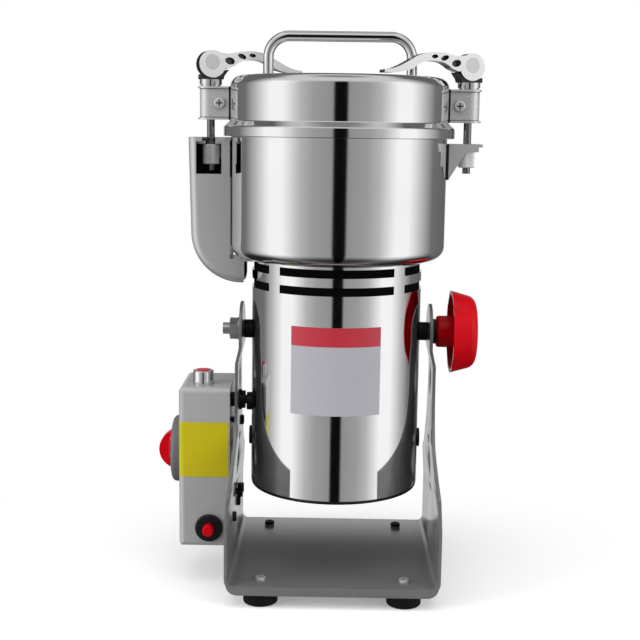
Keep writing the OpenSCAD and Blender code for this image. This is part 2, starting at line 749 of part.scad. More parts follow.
seal_r = 12;
module shaft_seal() color([0.1, 0.1, 0.1]) difference() {
    union() {
        z_rod(house_z1 - 2, floor_z + past, seal_r);
        rotate_extrude() can(seal_r + 4, floor_z, floor_z + 3, 0, 1.5);
    }
    z_rod(0, rim_z, shaft_r + shaft_gap);
}

// Brushes slide in square tubes on the X axis
brush_hole_r = 6.5;
brush_w = 6;
brush_h = 8;
brush_len = 20;
tube_w = 10;
tube_h = 12;
holder_w = 20;
brush_x0 = commutator_d / 2 + 0.4;
cap_rise = 1.4;
module brush_holders() color([0.75, 0.6, 0.25]) both_sides() translate([0, 0, brush_z]) difference() {
    union() {
        translate([brush_x0 + 2, -tube_w / 2, -tube_h / 2])
            cube([house_in - brush_x0 - 6, tube_w, tube_h]);
        intersection() {
            translate([house_in - 6, -holder_w / 2, -holder_w / 2]) cube(holder_w);
            z_rod(-holder_w, holder_w, house_in - hole_gap);
        }
    }
    translate([0, -brush_w / 2 - hole_gap, -brush_h / 2 - hole_gap])
        cube([house_in - 6, brush_w + 2 * hole_gap, brush_h + 2 * hole_gap]);
    x_rod(house_in - 8, house_r, brush_hole_r - thread_step);
}

module carbon_brushes() color([0.15, 0.15, 0.16]) both_sides()
    translate([brush_x0, -brush_w / 2, brush_z - brush_h / 2]) cube([brush_len, brush_w, brush_h]);

module brush_caps() color([0.06, 0.06, 0.06]) both_sides() translate([0, 0, brush_z]) difference() {
    union() {
        x_rod(house_in, house_r + cap_rise, brush_hole_r - hole_gap);
        x_rod(house_in - 6, house_r, brush_hole_r - thread_step - shaft_gap);
    }
    translate([house_r + cap_rise - 1, -0.8, -brush_hole_r]) cube([1 + past, 1.6, 2 * brush_hole_r]);
}

module pivot_spacers() color([0.55, 0.55, 0.57]) both_sides() difference() {
    at_pivot() x_rod(house_in, boss_in - move_gap, 6.3);
    at_pivot() x_rod(0, boss_out, stud_d / 2 + hole_gap);
    z_rod(0, rim_z, house_r);
}

stud_root = 8;
module pivot_stud() color([0.72, 0.72, 0.74]) at_pivot()
    x_rod(-boss_out - 12.1, -house_r + stud_root, stud_d / 2);

module pivot_nut() color([0.72, 0.72, 0.74]) at_pivot() difference() {
    union() {
        x_rod(-boss_out - move_gap - 1.2, -boss_out - move_gap, 8);
        translate([-boss_out - move_gap - 7, 0, 0]) rotate([0, 90, 0]) cylinder(h = 6, r = 7.5, $fn = 6);
    }
    x_rod(-2 * boss_out, 0, stud_d / 2 + shaft_gap);
}

module clamp_washer() color([0.8, 0.8, 0.82]) at_pivot() difference() {
    x_rod(washer_x, washer_x + washer_t, 8.5);
    x_rod(0, 2 * boss_out, stud_d / 2 + shaft_gap);
}

module clamp_stud() color([0.72, 0.72, 0.74]) at_pivot() x_rod(house_r - stud_root, knob_rim + 5, stud_d / 2);

// Cup-shaped knob: the rim is open towards the machine, and four shallow flutes run along its side
module knob_outline(d) {
    depth = knob_x1 - knob_rim;
    face_r = knob_d / 2 - 10;
    polygon(concat([[0, depth - d], [face_r * 0.6, depth - 0.25 - d]],
        [for (i = [0 : 6]) let(a = 90 - 12 * i)
            [face_r + (7 - d) * cos(a), depth - 7.8 + (7 - d) * sin(a)]],
        [[knob_d / 2 - d, 0], [knob_d / 2 - d, -past], [0, -past]]));
}

module clamp_knob() color([0.8, 0.02, 0.07]) at_pivot() difference() {
    union() {
        translate([knob_rim, 0, 0]) rotate([0, 90, 0]) difference() {
            rotate_extrude() difference() {
                knob_outline(0);
                knob_outline(2.6);
                translate([0, -2 * past]) square([knob_d, 2 * past]);
            }
            four_corners() translate([knob_d / 2 + 22.6, 0, -past]) cylinder(h = knob_len, r = 24);
        }
        translate([knob_x0, 0, 0]) rotate([0, 90, 0]) rotate_extrude()
            can(hub_d / 2, 0, knob_len - 2, 2, 0);
    }
    x_rod(0, knob_rim + 5, stud_d / 2 + shaft_gap);
}

// The bowl: a deep pan with a turned-out rim, a hole for the seal and four screw holes
module bowl() color([0.8, 0.81, 0.82]) difference() {
    rotate_extrude() difference() {
        union() {
            can(bowl_r, house_z1, rim_z, bowl_corner, 0);
            translate([0, rim_z - bowl_wall]) square([bowl_r + rim_w, bowl_wall]);
        }
        can(bowl_r - bowl_wall, floor_z, rim_z + 2 * past, bowl_corner - bowl_wall, 0);
    }
    z_rod(0, rim_z, seal_r + hole_gap);
    four_corners() translate([post_r, 0, 0]) z_rod(0, floor_z + past, m4_r + hole_gap);
}

// An ear on the +X side: plate on the bowl, slotted flange and a gusset on its front
module ear() {
    half = bracket_w / 2;
    plate = 1.5;
    slot_gap = 0.6;
    foot_z = ear_z1 - 23.7;
    difference() {
        union() {
            intersection() {
                z_rod(foot_z, ear_z1, bowl_r + plate);
                translate([0, -half, 0]) cube([bowl_d, 2 * half, rim_z]);
            }
            translate([0, -half, ear_z0]) cube([ear_x1, 2 * half, ear_t]);
            translate([0, -half + plate, 0]) rotate([90, 0, 0]) linear_extrude(plate)
                polygon([[bowl_r - 3, foot_z], [bowl_r + 0.8, foot_z], [rod_x - 2, ear_z0 - 4],
                    [ear_x1 - 2.5, ear_z0 - 3], [ear_x1 - 2.5, ear_z1], [bowl_r - 3, ear_z1]]);
        }
        z_rod(0, rim_z, bowl_r);
        rotate([0, 0, -asin((rod_d / 2 + slot_gap) / rod_x)]) translate([0, 0, ear_z0 - past])
            rotate_extrude(angle = 20) translate([rod_x - rod_d / 2 - slot_gap, 0])
                square([rod_d + 2 * slot_gap, ear_t + 2 * past]);
    }
}

module bowl_ears() color([0.72, 0.73, 0.74]) both_sides() ear();

// Outline of the cover's front, filled, a distance inside its outer face
module cover_outline(d) {
    x1 = -cover_x1 + d;
    corner = cover_corner - d;
    cx = -cover_x1 + 1.6 + cover_corner;
    cz = cover_bottom + cover_corner;
    polygon([[x1, cover_top - d], [cx - corner, cz], [cx, cz], [cx, cover_bottom + d],
        [-house_r + 4, cover_bottom + d], [-house_r + 4, cover_top - d]]);
    intersection() {
        translate([cx, cz]) circle(corner);
        translate([cx - 2 * corner, cz - 2 * corner]) square(2 * corner);
    }
}

module bowl_envelope(gap) {
    rotate_extrude() can(bowl_r + gap, house_z1 - gap, rim_z, bowl_corner + gap, 0);
    z_rod(0, house_z1, house_r + bowl_gap);
}

module cover_shape(d) difference() {
    rotate([90, 0, 0]) linear_extrude(cover_w - 2 * d, center = true) cover_outline(d);
    if (d == 0) bowl_envelope(bowl_gap);
    else difference() {
        bowl_envelope(bowl_gap + d);
        z_rod(0, house_z1 - bowl_gap - d, house_r + 5 * bowl_gap);
    }
}

module interlock_cover() color([0.72, 0.72, 0.73]) difference() {
    cover_shape(0);
    cover_shape(cover_wall);
    translate([-rod_x - window_w / 2, -cover_w, window_z0]) cube([window_w, cover_w, window_z1 - window_z0]);
    translate([-rod_x - rod_d / 2 - 1.8, -cover_w, ear_z0 - past])
        cube([rod_d + 3.6, cover_w + rod_d / 2 + 1.8, cover_top - ear_z0 + 2 * past]);
    translate([-rod_x, -bracket_w / 2 - move_gap, ear_z1 - 24])
        cube([rod_x, bracket_w + 2 * move_gap, 24 + move_gap]);
}

// Snap switch under the rod, on two pegs from the cover's rear wall
switch_case = [10, 6.4, 20];
switch_arm = [7, 4, 10];
switch_strip = 0.6;
module microswitch() color([0.1, 0.1, 0.1]) translate([-rod_x, 0, rod_z0 - rod_drop - move_gap]) {
    case_z0 = -switch_arm.z - switch_case.z;
    translate([-switch_case.x / 2, -switch_case.y / 2, case_z0]) cube(switch_case);
    translate([-4, -switch_arm.y / 2, -switch_arm.z]) cube([switch_strip, switch_arm.y, switch_arm.z]);
    translate([-4, -switch_arm.y / 2, -switch_strip]) cube([switch_arm.x, switch_arm.y, switch_strip]);
    for (z = [0.2, 0.8]) translate([0, 0, case_z0 + z * switch_case.z])
        y_rod(switch_case.y / 2, cover_w / 2 - cover_wall, m3_r);
}

// Rotor
module motor_shaft() color([0.75, 0.75, 0.77]) {
    z_rod(bearing_z0 - 2, bearing_z0 + bearing_h + 2, lower_journal);
    z_rod(bearing_z0 + bearing_h + 1, carrier_z1 - 2, motor_shaft_r);
    z_rod(carrier_z1 - 3, hub_z + 28, shaft_r);
}

module armature() color([0.4, 0.4, 0.43]) difference() {
    union() {
        translate([0, 0, stack_z0]) linear_extrude(stack_h) difference() {
            circle(armature_r);
            for (a = [0 : 30 : 330]) rotate(a) translate([armature_r - 3, -1]) square([4, 2]);
        }
        z_rod(stack_z0 - 6, stack_z1 + 8, armature_r - 5);
    }
    z_rod(0, rim_z, motor_shaft_r);
}

commutator_h = 14;
module commutator() color([0.75, 0.45, 0.2]) difference() {
    z_rod(brush_z - commutator_h / 2, brush_z + commutator_h / 2, commutator_d / 2);
    z_rod(0, rim_z, motor_shaft_r);
}

fan_t = 1.6;
fan_h = 12;
fan_hub_r = 11;
module cooling_fan() color([0.85, 0.85, 0.85]) difference() {
    union() {
        z_rod(fan_z, fan_z + fan_t, fan_d / 2);
        z_rod(fan_z, fan_z + fan_h, fan_hub_r);
        for (i = [0 : fan_blades - 1]) rotate(i * 360 / fan_blades)
            translate([fan_hub_r - 2, -fan_t / 2, fan_z]) cube([fan_d / 2 - fan_hub_r + 1, fan_t, fan_h - 1]);
    }
    z_rod(0, rim_z, motor_shaft_r);
}

// Two-winged blade whose wings leave the hub at an angle
module blade(z, span, width, tip_rise) difference() {
    tip = span / 2;
    bend = span * 0.28;
    union() {
        z_rod(z, z + blade_t, width * 0.62);
        translate([0, 0, z]) rotate([90, 0, 0]) linear_extrude(width, center = true) polygon([
            [-tip, tip_rise], [-bend, 0], [bend, 0], [tip, tip_rise],
            [tip, tip_rise + blade_t], [bend, blade_t], [-bend, blade_t], [-tip, tip_rise + blade_t]]);
    }
    z_rod(0, rim_z, shaft_r);
}

hub_r = 9;
blade_step = 10;
upper_z = hub_z + blade_t + blade_step;
module lower_blade() color([0.78, 0.78, 0.8]) blade(hub_z, blade_span, 20, 9);
module blade_spacer() color([0.6, 0.6, 0.62]) difference() {
    z_rod(hub_z + blade_t, upper_z, hub_r);
    z_rod(0, rim_z, shaft_r);
}
module upper_blade() color([0.78, 0.78, 0.8]) rotate(90)
    blade(upper_z, blade_span * 0.85, 2 * hub_r, -5);
module blade_nut() color([0.75, 0.75, 0.77]) difference() {
    union() {
        z_rod(upper_z + blade_t, upper_z + blade_t + 1.5, hub_r + 1);
        translate([0, 0, upper_z + blade_t + 1]) cylinder(h = 9, r = hub_r + 0.2, $fn = 6);
    }
    z_rod(0, rim_z, shaft_r);
}

// The lid: a pan turned upside down over the rim, with two lugs for the latch brackets
flare_h = 3.5;
flare_z = rim_z - 0.5;
module lid_fill(d) {
    can(lid_r - d, lid_z0 + skirt_drop, lid_z1 - d, 0, lid_corner - d);
    polygon([[0, lid_z0 - (d > 0 ? past : 0)], [skirt_r - d, lid_z0 - (d > 0 ? past : 0)],
        [skirt_r - d, flare_z - d / 2], [lid_r - d, flare_z + flare_h - d / 2], [0, rim_z + flare_h]]);
}

module lid() color([0.8, 0.81, 0.82]) difference() {
    union() {
        rotate_extrude() difference() {
            lid_fill(0);
            lid_fill(bowl_wall);
        }
        both_sides() difference() {
            translate([lid_r - 4, -bracket_w / 2 + bracket_t, bracket_z0 + 2])
                cube([lug_x1 - lid_r + 4, bracket_w - 2 * bracket_t, bracket_h - 4]);
            z_rod(0, handle_top, lid_r - bowl_wall / 2);
        }
    }
    both_sides() translate([lug_screw_x, 0, (bracket_z0 + bracket_z1) / 2])
        y_rod(-bracket_w, bracket_w, m3_r + shaft_gap);
    both_sides() translate([handle_x, 0, 0]) z_rod(lid_z1 - 4, lid_z1 + past, handle_stud_r + hole_gap);
}

module lid_seal() color([0.9, 0.9, 0.88]) rotate_extrude() polygon([
    [lid_r - 4, rim_z + 0.35], [lid_r + 0.6, rim_z + 0.35],
    [lid_r - bowl_wall - 0.1, rim_z + 2.1], [lid_r - 4, rim_z + 2.1]]);

module lid_handle() color([0.78, 0.79, 0.8]) {
    mid = handle_top - handle_bar / 2;
    bar_r = handle_bar / 2;
    both_sides() {
        translate([handle_x, 0, 0]) {
            z_rod(lid_z1, mid - handle_bend, bar_r);
            z_rod(lid_z1 - 9, lid_z1 + past, handle_stud_r);
        }
        translate([handle_x - handle_bend, 0, mid - handle_bend]) rotate([90, 0, 0])
            rotate_extrude(angle = 90) translate([handle_bend, 0]) circle(bar_r);
    }
    translate([0, 0, mid]) x_rod(-handle_x + handle_bend, handle_x - handle_bend, bar_r);
}

module handle_nuts() color([0.7, 0.7, 0.72]) both_sides() translate([handle_x, 0, 0]) difference() {
    union() {
        z_rod(lid_z1 - bowl_wall - 1, lid_z1 - bowl_wall, handle_stud_r + 4);
        translate([0, 0, lid_z1 - bowl_wall - 6]) cylinder(h = 5.5, r = handle_stud_r + 2.8, $fn = 6);
    }
    z_rod(lid_z0, lid_z1, handle_stud_r + shaft_gap);
}

// Plan of a latch bracket, a distance inside its outer face
module bracket_plan(d) {
    half = bracket_w / 2 - d;
    round_r = 6.5 - d;
    translate([lid_r - 8, -half]) square([bracket_x1 - d - round_r - lid_r + 8, 2 * half]);
    translate([lid_r - 8, -half + round_r]) square([bracket_x1 - d - lid_r + 8, 2 * (half - round_r)]);
    for (y = [-1, 1]) translate([bracket_x1 - d - round_r, y * (half - round_r)]) circle(round_r);
}

module latch_brackets() color([0.74, 0.75, 0.76]) both_sides() difference() {
    union() {
        translate([0, 0, bracket_z0]) linear_extrude(bracket_h) difference() {
            bracket_plan(0);
            bracket_plan(bracket_t);
        }
        for (z = [bracket_z0, bracket_z1 - plate_t])
            translate([0, 0, z]) linear_extrude(plate_t) bracket_plan(-plate_lip);
    }
    z_rod(0, handle_top, lid_r);
    translate([rod_x, 0, 0]) z_rod(bracket_z0 - past, bracket_z1 + past, rod_d / 2 + hole_gap);
    translate([lug_screw_x, 0, (bracket_z0 + bracket_z1) / 2]) y_rod(-bracket_w, bracket_w, m3_r + hole_gap);
}

module bracket_screws() color([0.78, 0.78, 0.8]) both_sides() for (s = [-1, 1])
    translate([lug_screw_x, s * bracket_w / 2, (bracket_z0 + bracket_z1) / 2]) rotate([-s * 90, 0, 0])
        pan_screw(7, m3_r, m3_head_r, m3_head_h);

// Latch parts on the +X side
module at_rod() translate([rod_x, 0, 0]) children();
module along_lever() at_rod() rotate(180 + lever_angle) rotate([90, 0, 0]) children();

// Seat of a cam: a chrome ring and a dark saddle, which swivel on the bracket
module cam_seat() {
    neck_r = 4.6;
    ring_z0 = seat_z0 + 0.8;
    saddle_r = cam_r + 3.5;
    lobe_z = cam_z - 3.6;
    color([0.8, 0.8, 0.82]) at_rod() difference() {
        z_rod(ring_z0 + shaft_gap, seat_top - shaft_gap, seat_r);
        z_rod(ring_z0 - past, seat_top + past, neck_r + shaft_gap);
    }
    color([0.08, 0.08, 0.08]) difference() {
        union() {
            at_rod() z_rod(seat_z0, ring_z0, seat_r - 0.8);
            at_rod() z_rod(seat_z0, seat_top + past / 2, neck_r);
            along_lever() linear_extrude(lever_t, center = true) difference() {
                polygon([[-seat_r + 0.1, seat_top], [seat_r - 0.1, seat_top], [seat_r + 0.7, seat_top + 2.5],
                    [cam_r + 2.4, lobe_z], [-seat_r + 0.1, lobe_z]]);
                translate([0, cam_z - cam_r - cam_gap + saddle_r]) circle(saddle_r);
            }
        }
        at_rod() z_rod(0, pin_z, rod_d / 2 + hole_gap);
    }
}

module latch_rod() color([0.75, 0.75, 0.77]) {
    rod_top = pin_z + 2;
    at_rod() z_rod(rod_z0, rod_top, rod_d / 2);
    difference() {
        along_lever() translate([0, pin_z]) linear_extrude(lever_t, center = true) circle(pin_d / 2);
        at_rod() z_rod(0, rod_top + shaft_gap, rod_d / 2 + shaft_gap);
    }
}

module knurled_nut() color([0.7, 0.7, 0.72]) at_rod() difference() {
    rotate_extrude() can(nut_d / 2, nut_z0, nut_z1, 0.6, 0.6);
    z_rod(nut_z0 - past, nut_z1 + past, rod_d / 2 + shaft_gap);
}

// A fork-headed lever with an eccentric round head
module lever_outline() polygon([for (p = concat([[0, lever_root]], curve(lever_top_edge, 5),
    [last(lever_top_edge)], curve(lever_low_edge, 5), [last(lever_low_edge), [0, -2]]))
    [p[0] * lever_len, pin_z + p[1]]]);

module cam_lever() color([0.82, 0.82, 0.83]) along_lever() difference() {
    fork = rod_d + 0.8;
    slot_end = cam_r + 0.6;
    union() {
        linear_extrude(lever_t, center = true) lever_outline();
        translate([0, cam_z, -lever_t / 2]) cylinder(h = lever_t, r = cam_r);
    }
    for (s = [-1, 1], h = lever_pockets) translate([h[0] * lever_len, pin_z + h[1], s * pocket_z])
        rotate(h[4]) linear_extrude(lever_t, center = true) ellipse(h[2], h[3]);
    translate([0, pin_z, -lever_t]) cylinder(h = 2 * lever_t, r = pin_d / 2 + shaft_gap);
    translate([-cam_d, cam_z - cam_d, -fork / 2]) cube([cam_d + slot_end, 2 * cam_d, fork]);
}

machine() base_frame();
machine() rubber_feet();
machine() frame_screws();
machine() control_box();
machine() control_box_back();
machine() timer_body();
machine() timer_dial();
machine() timer_knob();
machine() breaker_body();
machine() reset_button();
machine() button_collar();
machine() power_button();
machine() arm_glands();
machine() motor_lead();
machine() motor_housing();
machine() housing_base();
machine() case_screws();
machine() motor_carrier();
machine() stator_core();
machine() field_windings();
machine() bearings();
machine() bearing_plate();
machine() shaft_seal();
machine() brush_holders();
machine() carbon_brushes();
machine() brush_caps();
machine() pivot_spacers();
machine() pivot_stud();
machine() pivot_nut();
machine() bowl();
machine() bowl_ears();
machine() interlock_cover();
machine() microswitch();
machine() housing_gland();
machine() clamp_washer();
machine() clamp_knob();
machine() clamp_stud();
machine() motor_shaft();
machine() armature();
machine() commutator();
machine() cooling_fan();
machine() lower_blade();
machine() blade_spacer();
machine() upper_blade();
machine() blade_nut();
machine() lid();
machine() lid_seal();
machine() lid_handle();
machine() handle_nuts();
machine() latch_brackets();
machine() bracket_screws();
machine() cam_seat();  // cam_seat_right
machine() rotate(180) cam_seat();  // cam_seat_left
machine() latch_rod();  // latch_rod_right
machine() rotate(180) latch_rod();  // latch_rod_left
machine() knurled_nut();  // knurled_nut_right
machine() rotate(180) knurled_nut();  // knurled_nut_left
machine() cam_lever();  // cam_lever_right
machine() rotate(180) cam_lever();  // cam_lever_left
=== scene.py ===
import math
import bpy
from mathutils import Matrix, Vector


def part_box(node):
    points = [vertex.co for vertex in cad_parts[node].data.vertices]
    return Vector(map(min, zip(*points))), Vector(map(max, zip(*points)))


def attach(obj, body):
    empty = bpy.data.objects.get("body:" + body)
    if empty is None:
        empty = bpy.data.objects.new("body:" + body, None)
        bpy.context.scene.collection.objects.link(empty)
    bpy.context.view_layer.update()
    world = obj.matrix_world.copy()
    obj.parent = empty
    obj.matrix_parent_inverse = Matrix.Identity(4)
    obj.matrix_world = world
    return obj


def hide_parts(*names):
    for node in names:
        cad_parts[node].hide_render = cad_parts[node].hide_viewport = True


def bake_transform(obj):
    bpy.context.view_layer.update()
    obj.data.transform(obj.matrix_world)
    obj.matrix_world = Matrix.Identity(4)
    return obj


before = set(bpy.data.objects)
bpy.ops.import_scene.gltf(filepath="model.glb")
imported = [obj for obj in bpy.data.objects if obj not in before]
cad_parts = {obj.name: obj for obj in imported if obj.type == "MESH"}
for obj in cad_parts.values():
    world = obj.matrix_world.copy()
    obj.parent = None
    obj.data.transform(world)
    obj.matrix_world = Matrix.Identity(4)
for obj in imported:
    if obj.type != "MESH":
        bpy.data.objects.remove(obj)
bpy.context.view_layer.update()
MM = 0.001
head_axis = sum(corner.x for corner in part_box("motor_housing")) / 2


def at(x, y, z):
    """A point in metres, given in millimetres from the head's axis on the table."""
    return Vector((head_axis + x * MM, y * MM, z * MM))


def box_mm(node):
    """Lowest and highest corner of a CAD node in millimetres, measured from the head's axis."""
    return [(corner - at(0, 0, 0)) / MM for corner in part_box(node)]


# Camera: where the photograph was taken from

camera_down, camera_roll, camera_pan = 9.2, -0.79, 0.67
bpy.ops.object.select_all(action="DESELECT")
bpy.ops.object.camera_add(location=at(-3.3, -812.5, 312.2), rotation=(
    math.radians(90 - camera_down), math.radians(camera_roll), math.radians(camera_pan)))
camera = bpy.context.object
camera.name = "camera"
camera.data.lens = 67.3
camera.data.sensor_width = 36
camera.data.clip_start = 0.05
camera.data.clip_end = 20
bpy.context.scene.camera = camera
bpy.context.scene.view_settings.view_transform = "Standard"


# Sizes in millimetres that more than one piece needs

house_r, house_z1 = 57.7, 224.5
bowl_r, rim_z = 72.5, 312.0
steel_wall = 1.2
rod_x = 86.0


# Shader nodes, for the materials and for the studio

def feed(tree, socket, given):
    """Links another node's output to a socket, or sets the socket to a number or colour."""
    if isinstance(given, bpy.types.NodeSocket):
        tree.links.new(given, socket)
    else:
        socket.default_value = given


def result_of(tree, kind, result, given=(), **settings):
    """Adds a node, sets it, feeds its sockets and returns one of its outputs."""
    node = tree.nodes.new(kind)
    for key, value in settings.items():
        setattr(node, key, value)
    for key, value in dict(given).items():
        feed(tree, node.inputs[key], value)
    return node.outputs[result]


def ranged(tree, value, start, end, low=0.0, high=1.0, curve="LINEAR"):
    """A value's way from start to end, as a number from low to high."""
    limits = {"Value": value, "From Min": start, "From Max": end, "To Min": low, "To Max": high}
    return result_of(tree, "ShaderNodeMapRange", "Result", limits, interpolation_type=curve)


def computed(tree, operation, first, second=0.0):
    return result_of(tree, "ShaderNodeMath", "Value", {0: first, 1: second}, operation=operation)


def mixed_number(tree, share, first, second):
    return result_of(tree, "ShaderNodeMix", 0, {0: share, 2: first, 3: second})


def mixed_colour(tree, share, first, second):
    return result_of(tree, "ShaderNodeMix", 2, {0: share, 6: first, 7: second}, data_type="RGBA")


def mixed_shader(tree, share, first, second):
    return result_of(tree, "ShaderNodeMixShader", "Shader", {0: share, 1: first, 2: second})


def noise(tree, place, scale, detail):
    return result_of(tree, "ShaderNodeTexNoise", "Fac",
                     {"Vector": place, "Scale": scale, "Detail": detail})


def object_place(tree):
    return result_of(tree, "ShaderNodeTexCoord", "Object")


def ramp_of(tree, share, levels):
    """A colour ramp through the given places and colours."""
    node = tree.nodes.new("ShaderNodeValToRGB")
    feed(tree, node.inputs["Fac"], share)
    elements = node.color_ramp.elements
    while len(elements) < len(levels):
        elements.new(0.5)
    for element, (position, colour) in zip(elements, levels):
        element.position = position
        element.color = colour
    return node.outputs["Color"]


# Materials

even_grain = 60
relief_depth = 0.0003


def finish_of(name, colour, metallic=0.0, roughness=0.4, grain=(even_grain,) * 3, grain_size=400,
              tint=0.06, rough_swing=0.08, bump=0.05, coat=0.0, coat_rough=0.05, bump_size=None,
              specular=0.5):
    """A surface whose tint, gloss and fine relief vary with noise on the piece's own coordinates."""
    material = bpy.data.materials.new(name)
    material.use_nodes = True
    tree = material.node_tree
    shader = tree.nodes["Principled BSDF"]
    place = object_place(tree)
    stretched = result_of(tree, "ShaderNodeMapping", "Vector",
                          {"Vector": place, "Scale": [g / even_grain for g in grain]})
    fine = noise(tree, stretched, grain_size, detail=4)
    wide = noise(tree, place, scale=18, detail=3)
    dark = [c * (1 - tint) for c in colour] + [1]
    light = [min(1, c * (1 + tint)) for c in colour] + [1]
    feed(tree, shader.inputs["Base Color"], ramp_of(tree, wide, [(0.3, dark), (0.7, light)]))
    smoothest, roughest = max(0.0, roughness - rough_swing), min(1.0, roughness + rough_swing)
    feed(tree, shader.inputs["Roughness"], ranged(tree, fine, 0, 1, smoothest, roughest))
    if bump:
        source = noise(tree, place, bump_size, detail=2) if bump_size else fine
        relief = {"Height": source, "Strength": bump, "Distance": relief_depth}
        feed(tree, shader.inputs["Normal"], result_of(tree, "ShaderNodeBump", "Normal", relief))
    shader.inputs["Metallic"].default_value = metallic
    shader.inputs["Specular IOR Level"].default_value = specular
    shader.inputs["Coat Weight"].default_value = coat
    shader.inputs["Coat Roughness"].default_value = coat_rough
    return material


polished_steel = finish_of("polished_steel", (0.74, 0.74, 0.75), 1, 0.07, (60, 60, 4), 900,
                           tint=0.02, rough_swing=0.03, bump=0.0)
chrome = finish_of("chrome", (0.80, 0.80, 0.82), 1, 0.09, tint=0.02, rough_swing=0.04, bump=0.0)
plate_grey = (0.64, 0.64, 0.65)
plate_steel = finish_of("plate_steel", plate_grey, 0.45, 0.27, tint=0.03, rough_swing=0.02, bump=0.0)
nut_steel = finish_of("nut_steel", (0.92, 0.92, 0.93), 0.3, 0.3, grain_size=500, tint=0.08, bump=0.1)
zinc = finish_of("zinc", (0.60, 0.60, 0.62), 1, 0.3, grain_size=300, tint=0.08, bump=0.1)
ground_steel = finish_of("ground_steel", (0.66, 0.66, 0.68), 1, 0.22, (4, 60, 60), 1200, bump=0.1)
stand_paint = finish_of("stand_paint", (0.17, 0.17, 0.175), 0.2, 0.32, grain_size=1800, tint=0.03,
                        rough_swing=0.04, bump=0.01, coat=0.7, coat_rough=0.12)
box_paint = finish_of("box_paint", (0.41, 0.41, 0.415), 0.15, 0.34, grain_size=1500, tint=0.02,
                      rough_swing=0.04, bump=0.06, coat=0.25, coat_rough=0.2)
cover_plastic = finish_of("cover_plastic", (0.54, 0.54, 0.545), 0.5, 0.3, grain_size=1600,
                          tint=0.02, rough_swing=0.05, bump=0.07)
red_gloss = finish_of("red_gloss", (0.61, 0.0, 0.006), 0.0, 0.26, tint=0.04, rough_swing=0.03,
                      bump=0.03, bump_size=90, specular=0.14)
# Black plastic, also used as painted shade on the interlock cover's inside
black_plastic = finish_of("black_plastic", (0.008, 0.008, 0.009), 0.0, 0.32, grain_size=1400,
                          bump=0.15, specular=0.3)
black_rubber = finish_of("black_rubber", (0.006, 0.006, 0.006), 0.0, 0.6, grain_size=900, tint=0.15,
                         bump=0.3, specular=0.12)
# Painted shade: near-black and hardly shiny, for the sheet behind the vents
painted_vent_shade = finish_of("painted_vent_shade", (0.003, 0.003, 0.003), 0.0, 0.8, tint=0.1, bump=0.1,
                       specular=0.03)
# Black cast finish, also used as painted shade on the parts seen through the vents
black_cast_and_vent_shade = finish_of("black_cast_and_vent_shade", (0.008, 0.008, 0.009), 0.0, 0.45, grain_size=700, bump=0.3,
                       specular=0.25)
dial_grey = finish_of("dial_grey", (0.14, 0.14, 0.145), 0.0, 0.4, grain_size=1500, bump=0.05)
dial_print = finish_of("dial_print", (0.75, 0.75, 0.74), 0.0, 0.5, grain_size=600, tint=0.02,
                       bump=0.03)
rating_film = finish_of("rating_film", (0.44, 0.43, 0.47), 0.0, 0.3, grain_size=500, tint=0.015,
                        bump=0.02)
yellow_sticker = finish_of("yellow_sticker", (0.52, 0.44, 0.0), 0.0, 0.45, grain_size=600,
                           tint=0.02, bump=0.03)
lamination = finish_of("lamination", (0.16, 0.16, 0.17), 0.9, 0.45, (60, 60, 900), 60, tint=0.2,
                       bump=0.5)
copper = finish_of("copper", (0.62, 0.28, 0.10), 0.9, 0.3, (900, 60, 60), 60, tint=0.1, bump=0.5)
brass = finish_of("brass", (0.70, 0.52, 0.20), 1, 0.3, bump=0.1)
carbon = finish_of("carbon", (0.04, 0.04, 0.04), 0.0, 0.6, bump=0.3)
natural_plastic = finish_of("natural_plastic", (0.68, 0.68, 0.62), 0.0, 0.45, bump=0.08)
silicone = finish_of("silicone", (0.75, 0.75, 0.72), 0.0, 0.5, bump=0.05)
seat_finish = finish_of("seat_chrome", (0.72, 0.72, 0.74), 1, 0.12, tint=0.02, bump=0.0)
rod_finish = finish_of("latch_rod_steel", (0.22, 0.22, 0.23), 1, 0.16, tint=0.05, bump=0.05)
side_screw = finish_of("side_screw", (0.03, 0.03, 0.03), 0.5, 0.35, tint=0.05, bump=0.1)
plate_screw = finish_of("plate_screw", (0.55, 0.55, 0.56), 0.6, 0.3, tint=0.05, bump=0.1)

# Second colours of a finish

across_x, across_y, upright = (1, 0, 0), (0, 1, 0), (0, 0, 1)
origin = (0, 0, 0)


def changed_across(material, direction, centre, start, end, colour, metallic, roughness):
    """Changes a finish where the distance in mm from a plane through a point goes past start."""
    tree = material.node_tree
    surface = tree.nodes["Principled BSDF"].inputs
    along = result_of(tree, "ShaderNodeVectorMath", "Value", {0: object_place(tree), 1: direction},
                      operation="DOT_PRODUCT")
    offset = computed(tree, "SUBTRACT", along, Vector(direction).dot(at(*centre)))
    share = ranged(tree, computed(tree, "ABSOLUTE", offset), start * MM, end * MM)
    plain_colour = surface["Base Color"].links[0].from_socket
    plain_gloss = surface["Roughness"].links[0].from_socket
    plain_metal = surface["Metallic"].default_value
    feed(tree, surface["Base Color"], mixed_colour(tree, share, plain_colour, (*colour, 1)))
    feed(tree, surface["Roughness"], mixed_number(tree, share, plain_gloss, roughness))
    feed(tree, surface["Metallic"], ranged(tree, share, 0, 1, plain_metal, metallic))
    return material


# The rating plate's red band, the swivel seats' dark saddles and the latch rods' bright pins
band_z, seat_ring_z, pin_low_z = 172.05, 341.95, 345.0
changed_across(rating_film, upright, origin, band_z, band_z + 0.1, (0.50, 0.03, 0.05), 0, 0.3)
changed_across(seat_finish, upright, origin, seat_ring_z, seat_ring_z + 0.1, (0.014, 0.014, 0.015),
               0, 0.4)
changed_across(rod_finish, upright, origin, pin_low_z, pin_low_z + 1, (0.62, 0.62, 0.63), 0.3, 0.3)
